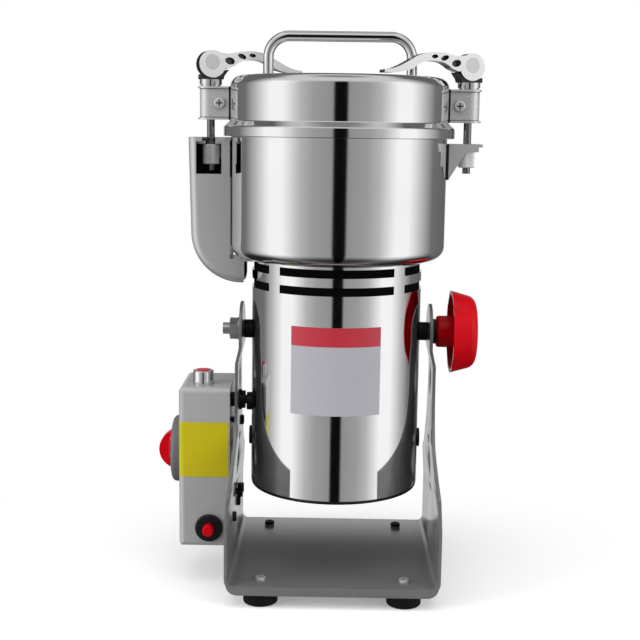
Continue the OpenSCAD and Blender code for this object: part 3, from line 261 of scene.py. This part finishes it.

# The cam levers' flanks are painted dark, painted shade beside their bright middle
lever_turn, flank_start, flank_end = math.radians(200), 4.2, 4.75
lever_side = (-math.sin(lever_turn), math.cos(lever_turn), 0)
lever_finishes = []
for hand, side in (("right", 1), ("left", -1)):
    lever_finish = finish_of(f"lever_{hand}_chrome", (0.12, 0.12, 0.125), 0.8, 0.3, tint=0.04,
                             bump=0.1, bump_size=120)
    lever_finishes.append(changed_across(lever_finish, lever_side, (side * rod_x, 0, 0), flank_start,
                                         flank_end, (0.80, 0.80, 0.81), 0.15, 0.25))

# Painted shade: dark lines painted along the latch sheet metal's edges and where it meets the bowl, and
# the screws' recesses painted dark
bracket_middle, bracket_inner_x, painted_edge_shade = (0, 0, 326.45), 73.1, (0.02, 0.02, 0.02)
changed_across(plate_steel, upright, bracket_middle, 9.0, 9.05, painted_edge_shade, 0.5, 0.3)
changed_across(plate_steel, upright, bracket_middle, 9.4, 9.45, plate_grey, 0.45, 0.27)
changed_across(plate_steel, across_x, origin, bracket_inner_x + 0.2, bracket_inner_x, painted_edge_shade,
               0.5, 0.3)
changed_across(side_screw, across_y, origin, 11.15, 11.3, (0.70, 0.70, 0.71), 0.5, 0.28)
changed_across(plate_screw, across_y, (0, -57, 0), 8, 9, (0.015, 0.015, 0.016), 0.5, 0.4)


# Modelling helpers

def mode(name):
    bpy.ops.object.mode_set(mode=name)


def edit():
    mode("EDIT")


def select_where(test, kind):
    """Selects the active mesh's faces or edges whose centre in mm passes the test."""
    bpy.ops.mesh.select_mode(type=kind)
    bpy.ops.mesh.select_all(action="DESELECT")
    mode("OBJECT")
    mesh = bpy.context.object.data
    shift = at(0, 0, 0)
    points = [(v.co - shift) / MM for v in mesh.vertices]
    for part in {"EDGE": mesh.edges, "FACE": mesh.polygons}[kind]:
        centre = sum((points[i] for i in part.vertices), Vector()) / len(part.vertices)
        part.select = bool(test(centre))
    edit()


def chain(points):
    """Edges drawn through points, starting from a plane merged to one vertex; stays in edit mode."""
    bpy.ops.object.select_all(action="DESELECT")
    bpy.ops.mesh.primitive_plane_add(size=MM, location=(0, 0, 0))
    edit()
    bpy.ops.mesh.select_mode(type="VERT")
    bpy.ops.mesh.merge(type="CENTER")
    bpy.ops.mesh.select_all(action="SELECT")
    bpy.ops.transform.translate(value=points[0])
    for a, b in zip(points, points[1:]):
        bpy.ops.mesh.extrude_vertices_move(TRANSFORM_OT_translate={"value": b - a})
    bpy.ops.mesh.select_all(action="SELECT")


def pushed(way):
    """Extrudes what is selected along a vector in metres."""
    bpy.ops.mesh.extrude_region_move(TRANSFORM_OT_translate={"value": way})


def raised(rise):
    """Extrudes what is selected straight up by a height in mm, or down by a negative one."""
    pushed((0, 0, rise * MM))


def turn_faces(inside=False):
    """Makes all faces of the mesh point outwards, or inwards."""
    bpy.ops.mesh.select_all(action="SELECT")
    bpy.ops.mesh.normals_make_consistent(inside=inside)


def apply(kind, **values):
    """Adds a modifier to the active object, sets it and applies it."""
    mode("OBJECT")
    piece = bpy.context.object
    modifier = piece.modifiers.new(kind.lower(), kind)
    for key, value in values.items():
        setattr(modifier, key, value)
    bpy.ops.object.modifier_apply(modifier=modifier.name)
    return piece


def make_active(piece):
    if bpy.context.object and bpy.context.object.mode != "OBJECT":
        mode("OBJECT")
    bpy.ops.object.select_all(action="DESELECT")
    piece.select_set(True)
    bpy.context.view_layer.objects.active = piece


def turned(outline, centre=(0, 0, 0), along="Z", steps=128, closed=True):
    """Turns an outline of (radius, height) in mm about an axis along Z or X through the centre."""
    def place(radius, height):
        x, y, z = {"Z": (radius, 0, height), "X": (height, 0, radius)}[along]
        return at(centre[0] + x, centre[1] + y, centre[2] + z)

    chain([place(*p) for p in (outline + outline[:1] if closed else outline)])
    axis = {"Z": (0, 0, 1), "X": (1, 0, 0)}[along]
    bpy.ops.mesh.spin(steps=steps, angle=2 * math.pi, center=at(*centre), axis=axis)
    bpy.ops.mesh.select_all(action="SELECT")
    bpy.ops.mesh.remove_doubles(threshold=1e-6)
    turn_faces()
    mode("OBJECT")
    return bpy.context.object


def slab(points, way):
    """A flat face through points, pushed along a vector to a solid."""
    chain(points)
    bpy.ops.mesh.edge_face_add()
    pushed(way)
    turn_faces()
    mode("OBJECT")
    return bpy.context.object


def film(points, height, thickness):
    """A thin sheet in mm that stands on a line of points, thickened outwards."""
    chain(points)
    raised(height)
    turn_faces()
    return apply("SOLIDIFY", thickness=thickness * MM, offset=1)


def block(low, high):
    """A box between two corners in mm."""
    bpy.ops.object.select_all(action="DESELECT")
    bpy.ops.mesh.primitive_cube_add(size=1, location=(0, 0, 0))
    edit()
    low, high = at(*low), at(*high)
    bpy.ops.transform.resize(value=high - low)
    bpy.ops.transform.translate(value=(low + high) / 2)
    mode("OBJECT")
    return bpy.context.object


def cut(piece, cutter, operation="DIFFERENCE", **values):
    make_active(piece)
    apply("BOOLEAN", operation=operation, solver="EXACT", object=cutter, **values)
    bpy.data.objects.remove(cutter)
    return piece


def joined(pieces):
    make_active(pieces[0])
    for piece in pieces[1:]:
        piece.select_set(True)
    bpy.ops.object.join()
    return bpy.context.object


def dress(piece, name, material, body, stands_for=(), angle=35):
    """Shades and names a finished piece, gives it its material and body, and hides the CAD nodes it
    replaces.
    """
    make_active(piece)
    bpy.ops.object.transform_apply(location=True, rotation=True, scale=True)
    bpy.ops.object.shade_smooth_by_angle(angle=math.radians(angle))
    piece.name = piece.data.name = name
    if not piece.data.materials:
        piece.data.materials.append(material)
    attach(piece, body)
    if stands_for:
        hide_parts(*stands_for)
    return piece


def arc(cx, cy, r, a0, a1, n):
    """Points of an arc in degrees, both ends included."""
    return [(cx + r * math.cos(math.radians(a0 + (a1 - a0) * i / n)),
             cy + r * math.sin(math.radians(a0 + (a1 - a0) * i / n))) for i in range(n + 1)]


# Motor housing with two rows of vents

vent_top, vent_h, vent_ring, vent_bar = house_z1 - 2.5, 5.5, 6.0, 10.0
house_z0, house_edge, house_bottom_r, house_top_hole = 67.0, 1.2, house_r - 0.4, 50
vents = [(vent_top - vent_h, vent_top),
         (vent_top - 2 * vent_h - vent_ring, vent_top - vent_h - vent_ring)]
outline = [(house_bottom_r, house_z0 + 2), (house_r, house_z0 + 2.4), (house_r, 130)]
outline += [(house_r, z) for pair in reversed(vents) for z in pair]
outline += [(house_r, house_z1 - house_edge)]
outline += arc(house_r - house_edge, house_z1 - house_edge, house_edge, 0, 90, 4)[1:]
outline += [(house_top_hole, house_z1)]
housing = turned(outline, steps=144, closed=False)
edit()


def in_vent(c):
    """Whether a face lies in a vent, between two of the four bars."""
    turn = math.degrees(math.atan2(c.y, c.x)) % 90 - 45
    off_bar = abs(turn) > math.degrees(vent_bar / 2 / house_r)
    return off_bar and any(low < c.z < high for low, high in vents) and c.xy.length > house_top_hole


select_where(in_vent, "FACE")
bpy.ops.mesh.delete(type="FACE")
apply("SOLIDIFY", thickness=steel_wall * MM, offset=-1, use_even_offset=True)
dress(housing, "steel_housing", polished_steel, "head", ["motor_housing"])

# Black sheet behind the vents: painted shade, standing for the dark inside of the housing

shade_sheet_in, shade_sheet_out, shade_sheet_z0, shade_sheet_z1 = 56.1, 56.4, 198.5, 223
shade_sheet = turned([(shade_sheet_in, shade_sheet_z0), (shade_sheet_out, shade_sheet_z0), (shade_sheet_out, shade_sheet_z1),
                 (shade_sheet_in, shade_sheet_z1)], steps=144)
dress(shade_sheet, "vent_shade_sheet", painted_vent_shade, "head")

# Bowl

bowl_corner, bowl_hole, rim_r = 9.0, 13, 0.9
corner_x, corner_z = bowl_r - bowl_corner, house_z1 + bowl_corner
outline = [(bowl_hole, house_z1)] + arc(corner_x, corner_z, bowl_corner, -90, 0, 12)
outline += [(bowl_r, rim_z - 2.6), (bowl_r + 0.5, rim_z - 2.2)]
outline += arc(bowl_r + rim_r, rim_z - rim_r, rim_r, -60, 120, 8)
outline += [(bowl_r - steel_wall, rim_z - 0.5)]
outline += arc(corner_x, corner_z, bowl_corner - steel_wall, 0, -90, 10)
outline += [(bowl_hole, house_z1 + steel_wall)]
dress(turned(outline, steps=160), "grinding_bowl", polished_steel, "head", ["bowl"])

# Lid with its two lugs

lid_r, lid_z0, lid_z1, skirt_r, lid_corner = 73.0, 305.0, 344.5, 77.3, 7.0
lug_x, lug_half, lug_z0, lug_z1 = 82.3, 8.4, 317.8, 335.2
flare_z = rim_z - 0.5
corner_x, corner_z = lid_r - lid_corner, lid_z1 - lid_corner
outline = [(0, lid_z1)] + arc(corner_x, corner_z, lid_corner, 90, 0, 12)
outline += [(lid_r, flare_z + 4.2)] + arc(lid_r + 1.4, flare_z + 4.2, 1.4, 180, 232, 4)[1:]
outline += arc(skirt_r - 1.8, flare_z - 0.9, 1.8, 62, 0, 5)
outline += [(skirt_r, lid_z0 + 0.8)] + arc(skirt_r - 0.6, lid_z0 + 0.6, 0.6, 0, -180, 6)
outline += [(skirt_r - steel_wall, flare_z - 1.4), (lid_r - steel_wall, flare_z + 3.0)]
outline += arc(corner_x, corner_z, lid_corner - steel_wall, 0, 90, 10) + [(0, lid_z1 - steel_wall)]
lid = turned(outline, steps=160, closed=False)
lugs = []
for side in (1, -1):
    lug_x0, lug_x1 = sorted((side * (lid_r - 0.4), side * lug_x))
    make_active(block((lug_x0, -lug_half, lug_z0), (lug_x1, lug_half, lug_z1)))
    lugs.append(apply("BEVEL", width=0.6 * MM, segments=3, limit_method="ANGLE"))
dress(joined([lid] + lugs), "steel_lid", polished_steel, "lid", ["lid"])

# Handle

bar_r, handle_x, handle_mid, handle_bend = 3.5, 47.7, lid_z1 + 26.5, 14.0
bend = arc(handle_x - handle_bend, handle_mid - handle_bend, handle_bend, 0, 90, 14)
route = [(handle_x, lid_z1 + 0.02)] + bend
route += [(-x, z) for x, z in reversed(bend)] + [(-handle_x, lid_z1 + 0.02)]
bpy.ops.object.select_all(action="DESELECT")
bpy.ops.curve.primitive_bezier_curve_add()
rail = bpy.context.object
rail.data.splines.clear()
spline = rail.data.splines.new("POLY")
spline.points.add(len(route) - 1)
for point, (x, z) in zip(spline.points, route):
    point.co = (*at(x, 0, z), 1)
rail.data.bevel_depth = bar_r * MM
rail.data.bevel_resolution = 10
rail.data.use_fill_caps = True
bpy.ops.object.convert(target="MESH")
handle = bpy.context.object
washer_in, washer_out, washer_top = 3.6, 6.2, lid_z1 + 1.0
washer = [(washer_in, lid_z1), (washer_out, lid_z1), (washer_out, lid_z1 + 0.7),
          (washer_out - 0.5, washer_top), (washer_in, washer_top)]
washers = [turned(washer, (side * handle_x, 0, 0), steps=48) for side in (1, -1)]
dress(joined([handle] + washers), "rod_handle", chrome, "lid", ["lid_handle"], angle=60)

# Stand: one bent sheet, swept row by row from one arm's boss to the other's

foot_h, sheet_t = 13.0, 2.0
plate_top = foot_h + sheet_t
pivot_z = 174.0
stand_half, taper_power = 71.0, 4
shoulder_z, full_z, lean_z, joggle_z0, joggle_z1 = 53.0, 75.0, 99.0, 153.0, 163.0
boss_out, arm_mid, arm_low, boss_r, bend_r = 65.5, 68.0, 70.7, 19.0, 6.0
lip_low, lip_top, lip_bend = 9, 26, bend_r + 1.4


def arm_half(z):
    """Half of the sheet's width from front to back at a height."""
    if z <= full_z:
        return stand_half
    if z >= joggle_z1:
        return math.sqrt(max(0.0, boss_r ** 2 - max(0.0, z - pivot_z) ** 2))
    left = 1 - (z - full_z) / (joggle_z1 - full_z)
    return boss_r + (stand_half - boss_r) * left ** taper_power


rows = [(0, foot_h), (arm_low - bend_r, foot_h)]
rows += arc(arm_low - bend_r, foot_h + bend_r, bend_r, -90, 0, 8)[1:]
rows += [(arm_low, 30), (arm_low, 44), (arm_low, shoulder_z)]
leaning = [64, full_z] + [full_z + 3 * k for k in range(1, 8)]
rows += [(arm_low - (arm_low - arm_mid) * (z - shoulder_z) / (lean_z - shoulder_z), z) for z in leaning]
rows += [(arm_mid, z) for z in (lean_z, 103, 108, 113, 119, 126, 135, 144, joggle_z0 - 1)]
rows += [(arm_mid - 0.2, joggle_z0 + 0.5), (boss_out + 0.2, joggle_z1 - 0.5), (boss_out, joggle_z1 + 1)]
rows += [(boss_out, pivot_z + boss_r * math.sin(math.radians(a))) for a in (*range(0, 90, 6), 88)]
rows = [(-x, z) for x, z in reversed(rows[1:])] + rows
x0, z0 = rows[0]
chain([at(x0, -arm_half(z0), z0), at(x0, arm_half(z0), z0)])
for (xa, za), (xb, zb) in zip(rows, rows[1:]):
    pushed(at(xb, 0, zb) - at(xa, 0, za))
    bpy.ops.transform.resize(value=(1, arm_half(zb) / arm_half(za), 1), center_override=at(xb, 0, zb))
turn_faces(inside=True)
stand = apply("SOLIDIFY", thickness=sheet_t * MM, offset=1, use_even_offset=True)


def leaf(z0, z1, width):
    """Outline of a leaf-shaped window, as points of (y, z)."""
    side = [(width / 2 * math.sin(math.pi * i / 14) ** 1.2, z0 + (z1 - z0) * i / 14) for i in range(15)]
    return side + [(-y, z) for y, z in reversed(side[1:-1])]


oval_z, oval_half_y, oval_half_z = 98, 4.5, 3
oval = [(oval_half_y * math.cos(math.radians(a)), oval_z + oval_half_z * math.sin(math.radians(a)))
        for a in range(0, 360, 15)]
cutter_reach = 80
for window in (leaf(128, joggle_z0 - 1, 10), leaf(69, 94, 15), leaf(60, 67, 10), oval):
    through_both_arms = Vector((2 * cutter_reach * MM, 0, 0))
    cut(stand, slab([at(-cutter_reach, y, z) for y, z in window], through_both_arms))
lips = []
for side in (-1, 1):
    edge = [(-arm_low + 1.0, lip_top), (-arm_low + 1.0, foot_h + bend_r)]
    edge += arc(-arm_low + 1.0 + lip_bend, lip_low + lip_bend, lip_bend, 180, 270, 8)
    edge += [(-x, z) for x, z in reversed(edge)]
    lip = slab([at(x, side * stand_half, z) for x, z in edge], Vector((0, -side * sheet_t * MM, 0)))
    inner = block((-arm_low + 1.9, -cutter_reach, plate_top - 0.8), (arm_low - 1.9, cutter_reach, 40))
    lips.append(cut(lip, inner))
for lip in lips:
    cut(stand, lip, "UNION")
make_active(stand)
apply("BEVEL", width=0.45 * MM, segments=3, limit_method="ANGLE", angle_limit=math.radians(50))
dress(stand, "sheet_stand", stand_paint, "base", ["base_frame"], angle=40)

# Rating plate on the front of the housing

plate_z, plate_h, plate_t, plate_reach = 126.8, 57.9, 0.25, 30
plate_line = arc(0, 0, house_r + 0.05, -90 - plate_reach, -90 + plate_reach, 40)
plate = film([at(x, y, plate_z) for x, y in plate_line], plate_h, plate_t)
dress(plate, "rating_plate", rating_film, "head")

# Sticker round the control box's front edge

sticker_x, sticker_z, sticker_h, sticker_t, box_edge = -71.6, 75.7, 38, 0.15, 4.0
box_low = box_mm("control_box")[0]
sticker_line = arc(box_low.x + box_edge, box_low.y + box_edge, box_edge + 0.03, 205, 270, 10)
sticker_line += [(sticker_x, box_low.y - 0.03)]
sticker = film([at(x, y, sticker_z) for x, y in sticker_line], sticker_h, sticker_t)
dress(sticker, "front_sticker", yellow_sticker, "base")

# Interlock cover

cover_x, cover_low, cover_top, cover_half, cover_corner = -100.0, 207.0, 304.0, 15.0, 34.0
cover_inner_x, cover_wall, cover_round = -53.7, 1.6, 6
below_r, below_z = 64, 222.0
nut_window_half, nut_window_z0, nut_window_z1 = 8.4, 280, 301.3
rod_slot_half, rod_slot_z0, rod_slot_z1 = 4.45, 298.7, 306
ear_half, ear_z0, ear_z1 = 10.3, 277.7, 302


def cover_solid(inset):
    """The cover's form a distance inside its outer face, with rounded edges, clear of the bowl."""
    centre_x, corner = cover_x + cover_wall + cover_corner, cover_corner - inset
    line = [(cover_x + inset, cover_top - inset)]
    line += arc(centre_x, cover_low + cover_corner, corner, 180, 270, 18)
    line += [(cover_inner_x, cover_low + inset), (cover_inner_x, cover_top - inset)]
    half = cover_half - inset
    solid = slab([at(x, -half, z) for x, z in line], Vector((0, 2 * half * MM, 0)))
    edit()
    select_where(lambda c: abs(abs(c.y) - half) < 0.01 and c.z < cover_top - inset - 0.1 and c.x < -58,
                 "EDGE")
    bpy.ops.mesh.bevel(offset=(cover_round - inset) * MM, segments=8, affect="EDGES")
    mode("OBJECT")
    clear_r, clear_z = bowl_r + 1 + inset, house_z1 - 1 - inset
    return cut(solid, turned([(0, clear_z), (clear_r, clear_z), (clear_r, 320), (0, 320)], closed=False,
                             steps=160))


cover = cover_solid(0)
hollow = cover_solid(cover_wall)
cover.data.materials.append(cover_plastic)
# The cover's inner faces take the black finish: painted shade for the dark inside seen through its
# window
hollow.data.materials.append(black_plastic)
cut(cover, hollow, material_mode="TRANSFER")
cut(cover, turned([(0, 190), (below_r, 190), (below_r, below_z), (0, below_z)], closed=False, steps=160))
cut(cover, block((-rod_x - nut_window_half, -30, nut_window_z0),
                 (-rod_x + nut_window_half, -8, nut_window_z1)))
cut(cover, block((-rod_x - rod_slot_half, -30, rod_slot_z0),
                 (-rod_x + rod_slot_half, rod_slot_half, rod_slot_z1)))
cut(cover, block((-rod_x, -ear_half, ear_z0), (-60, ear_half, ear_z1)))
dress(cover, "interlock_cover_shell", cover_plastic, "head", ["interlock_cover"], angle=30)

# Knurled nuts

nut_r, nut_low, nut_high = 5.75, 286.0, 299.4
nut_teeth, tooth_depth, nut_edge, nut_taper = 40, 0.28, 0.6, 0.88


def knurled_ring(radius, z):
    return [(radius - (tooth_depth if i % 2 else 0)) * Vector((math.cos(math.pi * i / nut_teeth),
            math.sin(math.pi * i / nut_teeth), 0)) + Vector((0, 0, z)) for i in range(2 * nut_teeth)]


for hand, side in (("right", 1), ("left", -1)):
    ring = knurled_ring(nut_r, nut_low + nut_edge)
    chain([at(side * rod_x + p.x, p.y, p.z) for p in ring + ring[:1]])
    bpy.ops.mesh.remove_doubles(threshold=1e-7)
    bpy.ops.mesh.edge_face_add()
    nut_foot = at(side * rod_x, 0, nut_low)
    for rise, scale in ((nut_high - nut_low - 2 * nut_edge, 1.0), (nut_edge, nut_taper)):
        raised(rise)
        bpy.ops.transform.resize(value=(scale, scale, 1), center_override=nut_foot)
    select_where(lambda c: c.z < nut_low + nut_edge + 0.1, "FACE")
    raised(-nut_edge)
    bpy.ops.transform.resize(value=(nut_taper, nut_taper, 1), center_override=nut_foot)
    turn_faces()
    mode("OBJECT")
    dress(bpy.context.object, f"knurled_thumb_nut_{hand}", nut_steel, f"rod_{hand}",
          [f"knurled_nut_{hand}"], angle=20)

# Lead between the arm and the housing

lead_low, lead_high = box_mm("motor_lead")
lead_z, lead_r = (lead_low.z + lead_high.z) / 2, 3.0
lead_rings = 72
ring_places = [lead_low.x + (lead_high.x - lead_low.x) * i / lead_rings for i in range(lead_rings + 1)]
lead = turned([(0, ring_places[0])] + [(lead_r, x) for x in ring_places] + [(0, ring_places[-1])],
              (0, 0, lead_z), "X", steps=32, closed=False)
make_active(lead)
bpy.ops.object.shade_smooth_by_angle(angle=math.radians(60))
lead.name = lead.data.name = "head_lead"
lead.data.materials.append(black_rubber)
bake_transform(lead)
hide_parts("motor_lead")

# Scale of the timer's dial: ticks and plain numbers

long_tick, short_tick, tick_t = (14.6, 17.0, 0.35), (15.4, 16.8, 0.2), 0.12
number_r, number_size, number_t = 19.6, 4.2, 0.1
dial_low, dial_high = box_mm("timer_dial")
dial_y, dial_z = (dial_low.y + dial_high.y) / 2, (dial_low.z + dial_high.z) / 2
marks = []
for step in range(31):
    angle = math.radians(10 * step)
    inner, outer, half = long_tick if step % 3 == 0 else short_tick
    along = Vector((0, -math.sin(angle), math.cos(angle)))
    across = half * Vector((0, math.cos(angle), math.sin(angle)))
    corners = [inner * along + across, inner * along - across,
               outer * along - across, outer * along + across]
    marks.append(slab([at(dial_low.x, dial_y + c.y, dial_z + c.z) for c in corners],
                      Vector((-tick_t * MM, 0, 0))))
for number in range(11):
    angle = math.radians(30 * number)
    spot = at(dial_low.x, dial_y - number_r * math.sin(angle), dial_z + number_r * math.cos(angle))
    bpy.ops.object.select_all(action="DESELECT")
    bpy.ops.object.text_add(location=spot, rotation=(math.radians(90), 0, math.radians(-90)))
    digits = bpy.context.object
    digits.data.body = str(number)
    digits.data.size = number_size * MM
    digits.data.extrude = number_t * MM
    digits.data.align_x = digits.data.align_y = "CENTER"
    bpy.ops.object.convert(target="MESH")
    bpy.ops.object.transform_apply(location=True, rotation=True, scale=True)
    marks.append(bpy.context.object)
dress(joined(marks), "dial_scale", dial_print, "base", angle=30)

# CAD nodes that keep their own shape

finishes = {
    black_rubber: ["rubber_feet", "shaft_seal"],
    zinc: ["control_box_back", "case_screws", "pivot_stud", "pivot_nut", "clamp_stud", "handle_nuts"],
    plate_screw: ["frame_screws"],
    side_screw: ["bracket_screws"],
    # The bearing plate and motor carrier are made black as painted shade, for the dark seen through the
    # vents
    black_cast_and_vent_shade: ["bearing_plate", "motor_carrier", "pivot_spacers", "clamp_washer"],
    box_paint: ["control_box"],
    dial_grey: ["timer_dial"],
    red_gloss: ["timer_knob", "reset_button", "power_button", "clamp_knob"],
    black_plastic: ["breaker_body", "arm_glands", "housing_base", "brush_caps", "microswitch",
                    "housing_gland"],
    chrome: ["button_collar"],
    rod_finish: ["latch_rod_right", "latch_rod_left"],
    seat_finish: ["cam_seat_right", "cam_seat_left"],
    lamination: ["stator_core", "armature"],
    copper: ["field_windings", "commutator"],
    brass: ["brush_holders"],
    carbon: ["carbon_brushes"],
    ground_steel: ["bearings", "motor_shaft", "lower_blade", "blade_spacer", "upper_blade",
                   "blade_nut"],
    plate_steel: ["bowl_ears", "latch_brackets"],
    natural_plastic: ["cooling_fan", "timer_body"],
    silicone: ["lid_seal"],
    lever_finishes[0]: ["cam_lever_right"],
    lever_finishes[1]: ["cam_lever_left"],
}
for material, names in finishes.items():
    for name in names:
        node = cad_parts[name]
        node.data.materials.clear()
        node.data.materials.append(material)

# Studio: bands of grey for the metal to mirror, and plain white for the camera

world = bpy.data.worlds.new("studio")
bpy.context.scene.world = world
world.use_nodes = True
tree = world.node_tree
split = tree.nodes.new("ShaderNodeSeparateXYZ")
feed(tree, split.inputs["Vector"], result_of(tree, "ShaderNodeTexCoord", "Generated"))
east, north, height = (split.outputs[key] for key in "XYZ")

# Share of the half turn from the front, at 0, to the back, at 1, alike on both sides
turn = computed(tree, "ARCTAN2", east, computed(tree, "MULTIPLY", north, -1))
aside = computed(tree, "ABSOLUTE", computed(tree, "SUBTRACT", turn, math.radians(1.5)))
share = computed(tree, "DIVIDE", aside, math.pi)


def grey_bands(levels):
    """Greys round the half turn, given as degrees from the front and levels."""
    return ramp_of(tree, share, [(angle / 180, (level, level, level, 1)) for angle, level in levels])


def front_to_rear(front, rear):
    """A height that is one value in front of the object and another behind it."""
    return ranged(tree, share, 0.45, 0.7, front, rear)


walls = grey_bands([(0, 0.004), (6, 0.004), (8.5, 0.36), (28, 0.43), (42, 0.60), (62, 1.2), (78, 1.2),
                    (98, 0.60), (116, 0.20), (158, 0.13), (168, 0.8), (180, 0.8)])
sky = grey_bands([(0, 0.75), (85, 0.75), (115, 0.15)])
ceiling_grey, floor_level, zenith_level = (0.75, 0.75, 0.75, 1), 0.12, 0.4
sky_share = ranged(tree, height, front_to_rear(0.42, 0.08), front_to_rear(0.65, 0.28))
ceiling_share = ranged(tree, height, 0.8, 0.9)
walls_and_sky = mixed_colour(tree, sky_share, walls, sky)
room = mixed_colour(tree, ceiling_share, walls_and_sky, ceiling_grey)
low_light = ranged(tree, height, front_to_rear(-0.8, -0.52), front_to_rear(-0.4, -0.36), floor_level)
high_light = ranged(tree, height, 0.94, 0.99, 1.0, zenith_level)
mirrored = result_of(tree, "ShaderNodeVectorMath", "Vector",
                     {0: room, "Scale": computed(tree, "MULTIPLY", low_light, high_light)},
                     operation="SCALE")
background = tree.nodes["Background"]
background.inputs["Strength"].default_value = 1.0
feed(tree, background.inputs["Color"], mirrored)
white = result_of(tree, "ShaderNodeBackground", "Background", {"Color": (1, 1, 1, 1)})
camera_ray = result_of(tree, "ShaderNodeLightPath", "Is Camera Ray")
feed(tree, tree.nodes["World Output"].inputs["Surface"],
     mixed_shader(tree, camera_ray, background.outputs["Background"], white))

# Pale floor that fades out round the object, and that metal doesn't mirror

floor_r, floor_drop = 3.0, 0.0002
bpy.ops.object.select_all(action="DESELECT")
bpy.ops.mesh.primitive_circle_add(vertices=96, radius=floor_r, fill_type="NGON",
                                  location=(0, 0, -floor_drop))
floor = bpy.context.object
floor.name = "floor"
pale = bpy.data.materials.new("pale_floor")
pale.use_nodes = True
tree = pale.node_tree
camera_ray = result_of(tree, "ShaderNodeLightPath", "Is Camera Ray")
glossy_ray = result_of(tree, "ShaderNodeLightPath", "Is Glossy Ray")
matt = tree.nodes["Principled BSDF"]
matt.inputs["Base Color"].default_value = (0.86, 0.86, 0.86, 1)
matt.inputs["Roughness"].default_value = 0.8
matt.inputs["Specular IOR Level"].default_value = 0.1
matt.inputs["Emission Color"].default_value = (1, 1, 1, 1)
feed(tree, matt.inputs["Emission Strength"], computed(tree, "MULTIPLY", camera_ray, 0.28))
clear = result_of(tree, "ShaderNodeBsdfTransparent", "BSDF")
glow = result_of(tree, "ShaderNodeEmission", "Emission", {"Strength": 1.0})
reach = result_of(tree, "ShaderNodeVectorMath", "Value", {0: object_place(tree)}, operation="LENGTH")

# The fade's start and end in metres, for other rays and for the camera
fade_start = ranged(tree, camera_ray, 0, 1, 0.09, 0.10)
fade_end = ranged(tree, camera_ray, 0, 1, 0.2, 0.30)
fade = ranged(tree, reach, fade_start, fade_end, curve="SMOOTHSTEP")
faded = mixed_shader(tree, fade, matt.outputs["BSDF"], mixed_shader(tree, camera_ray, clear, glow))
feed(tree, tree.nodes["Material Output"].inputs["Surface"],
     mixed_shader(tree, glossy_ray, faded, clear))
floor.data.materials.append(pale)


# Lamps

def softbox(name, place, target, size, power):
    bpy.ops.object.select_all(action="DESELECT")
    bpy.ops.object.light_add(type="AREA", location=place)
    lamp = bpy.context.object
    lamp.name = name
    lamp.data.shape = "RECTANGLE"
    lamp.data.size, lamp.data.size_y = size
    lamp.data.energy = power
    lamp.visible_glossy = False
    lamp.visible_camera = False
    lamp.rotation_euler = (Vector(target) - Vector(place)).to_track_quat("-Z", "Y").to_euler()


softbox("top_light", (0.0, -0.3, 1.5), (0, 0, 0.15), (1.2, 1.0), 7)
softbox("left_light", (-1.3, -0.7, 0.6), (0, 0, 0.2), (0.8, 1.2), 13)
softbox("right_light", (1.3, -0.7, 0.6), (0, 0, 0.2), (0.8, 1.2), 8)
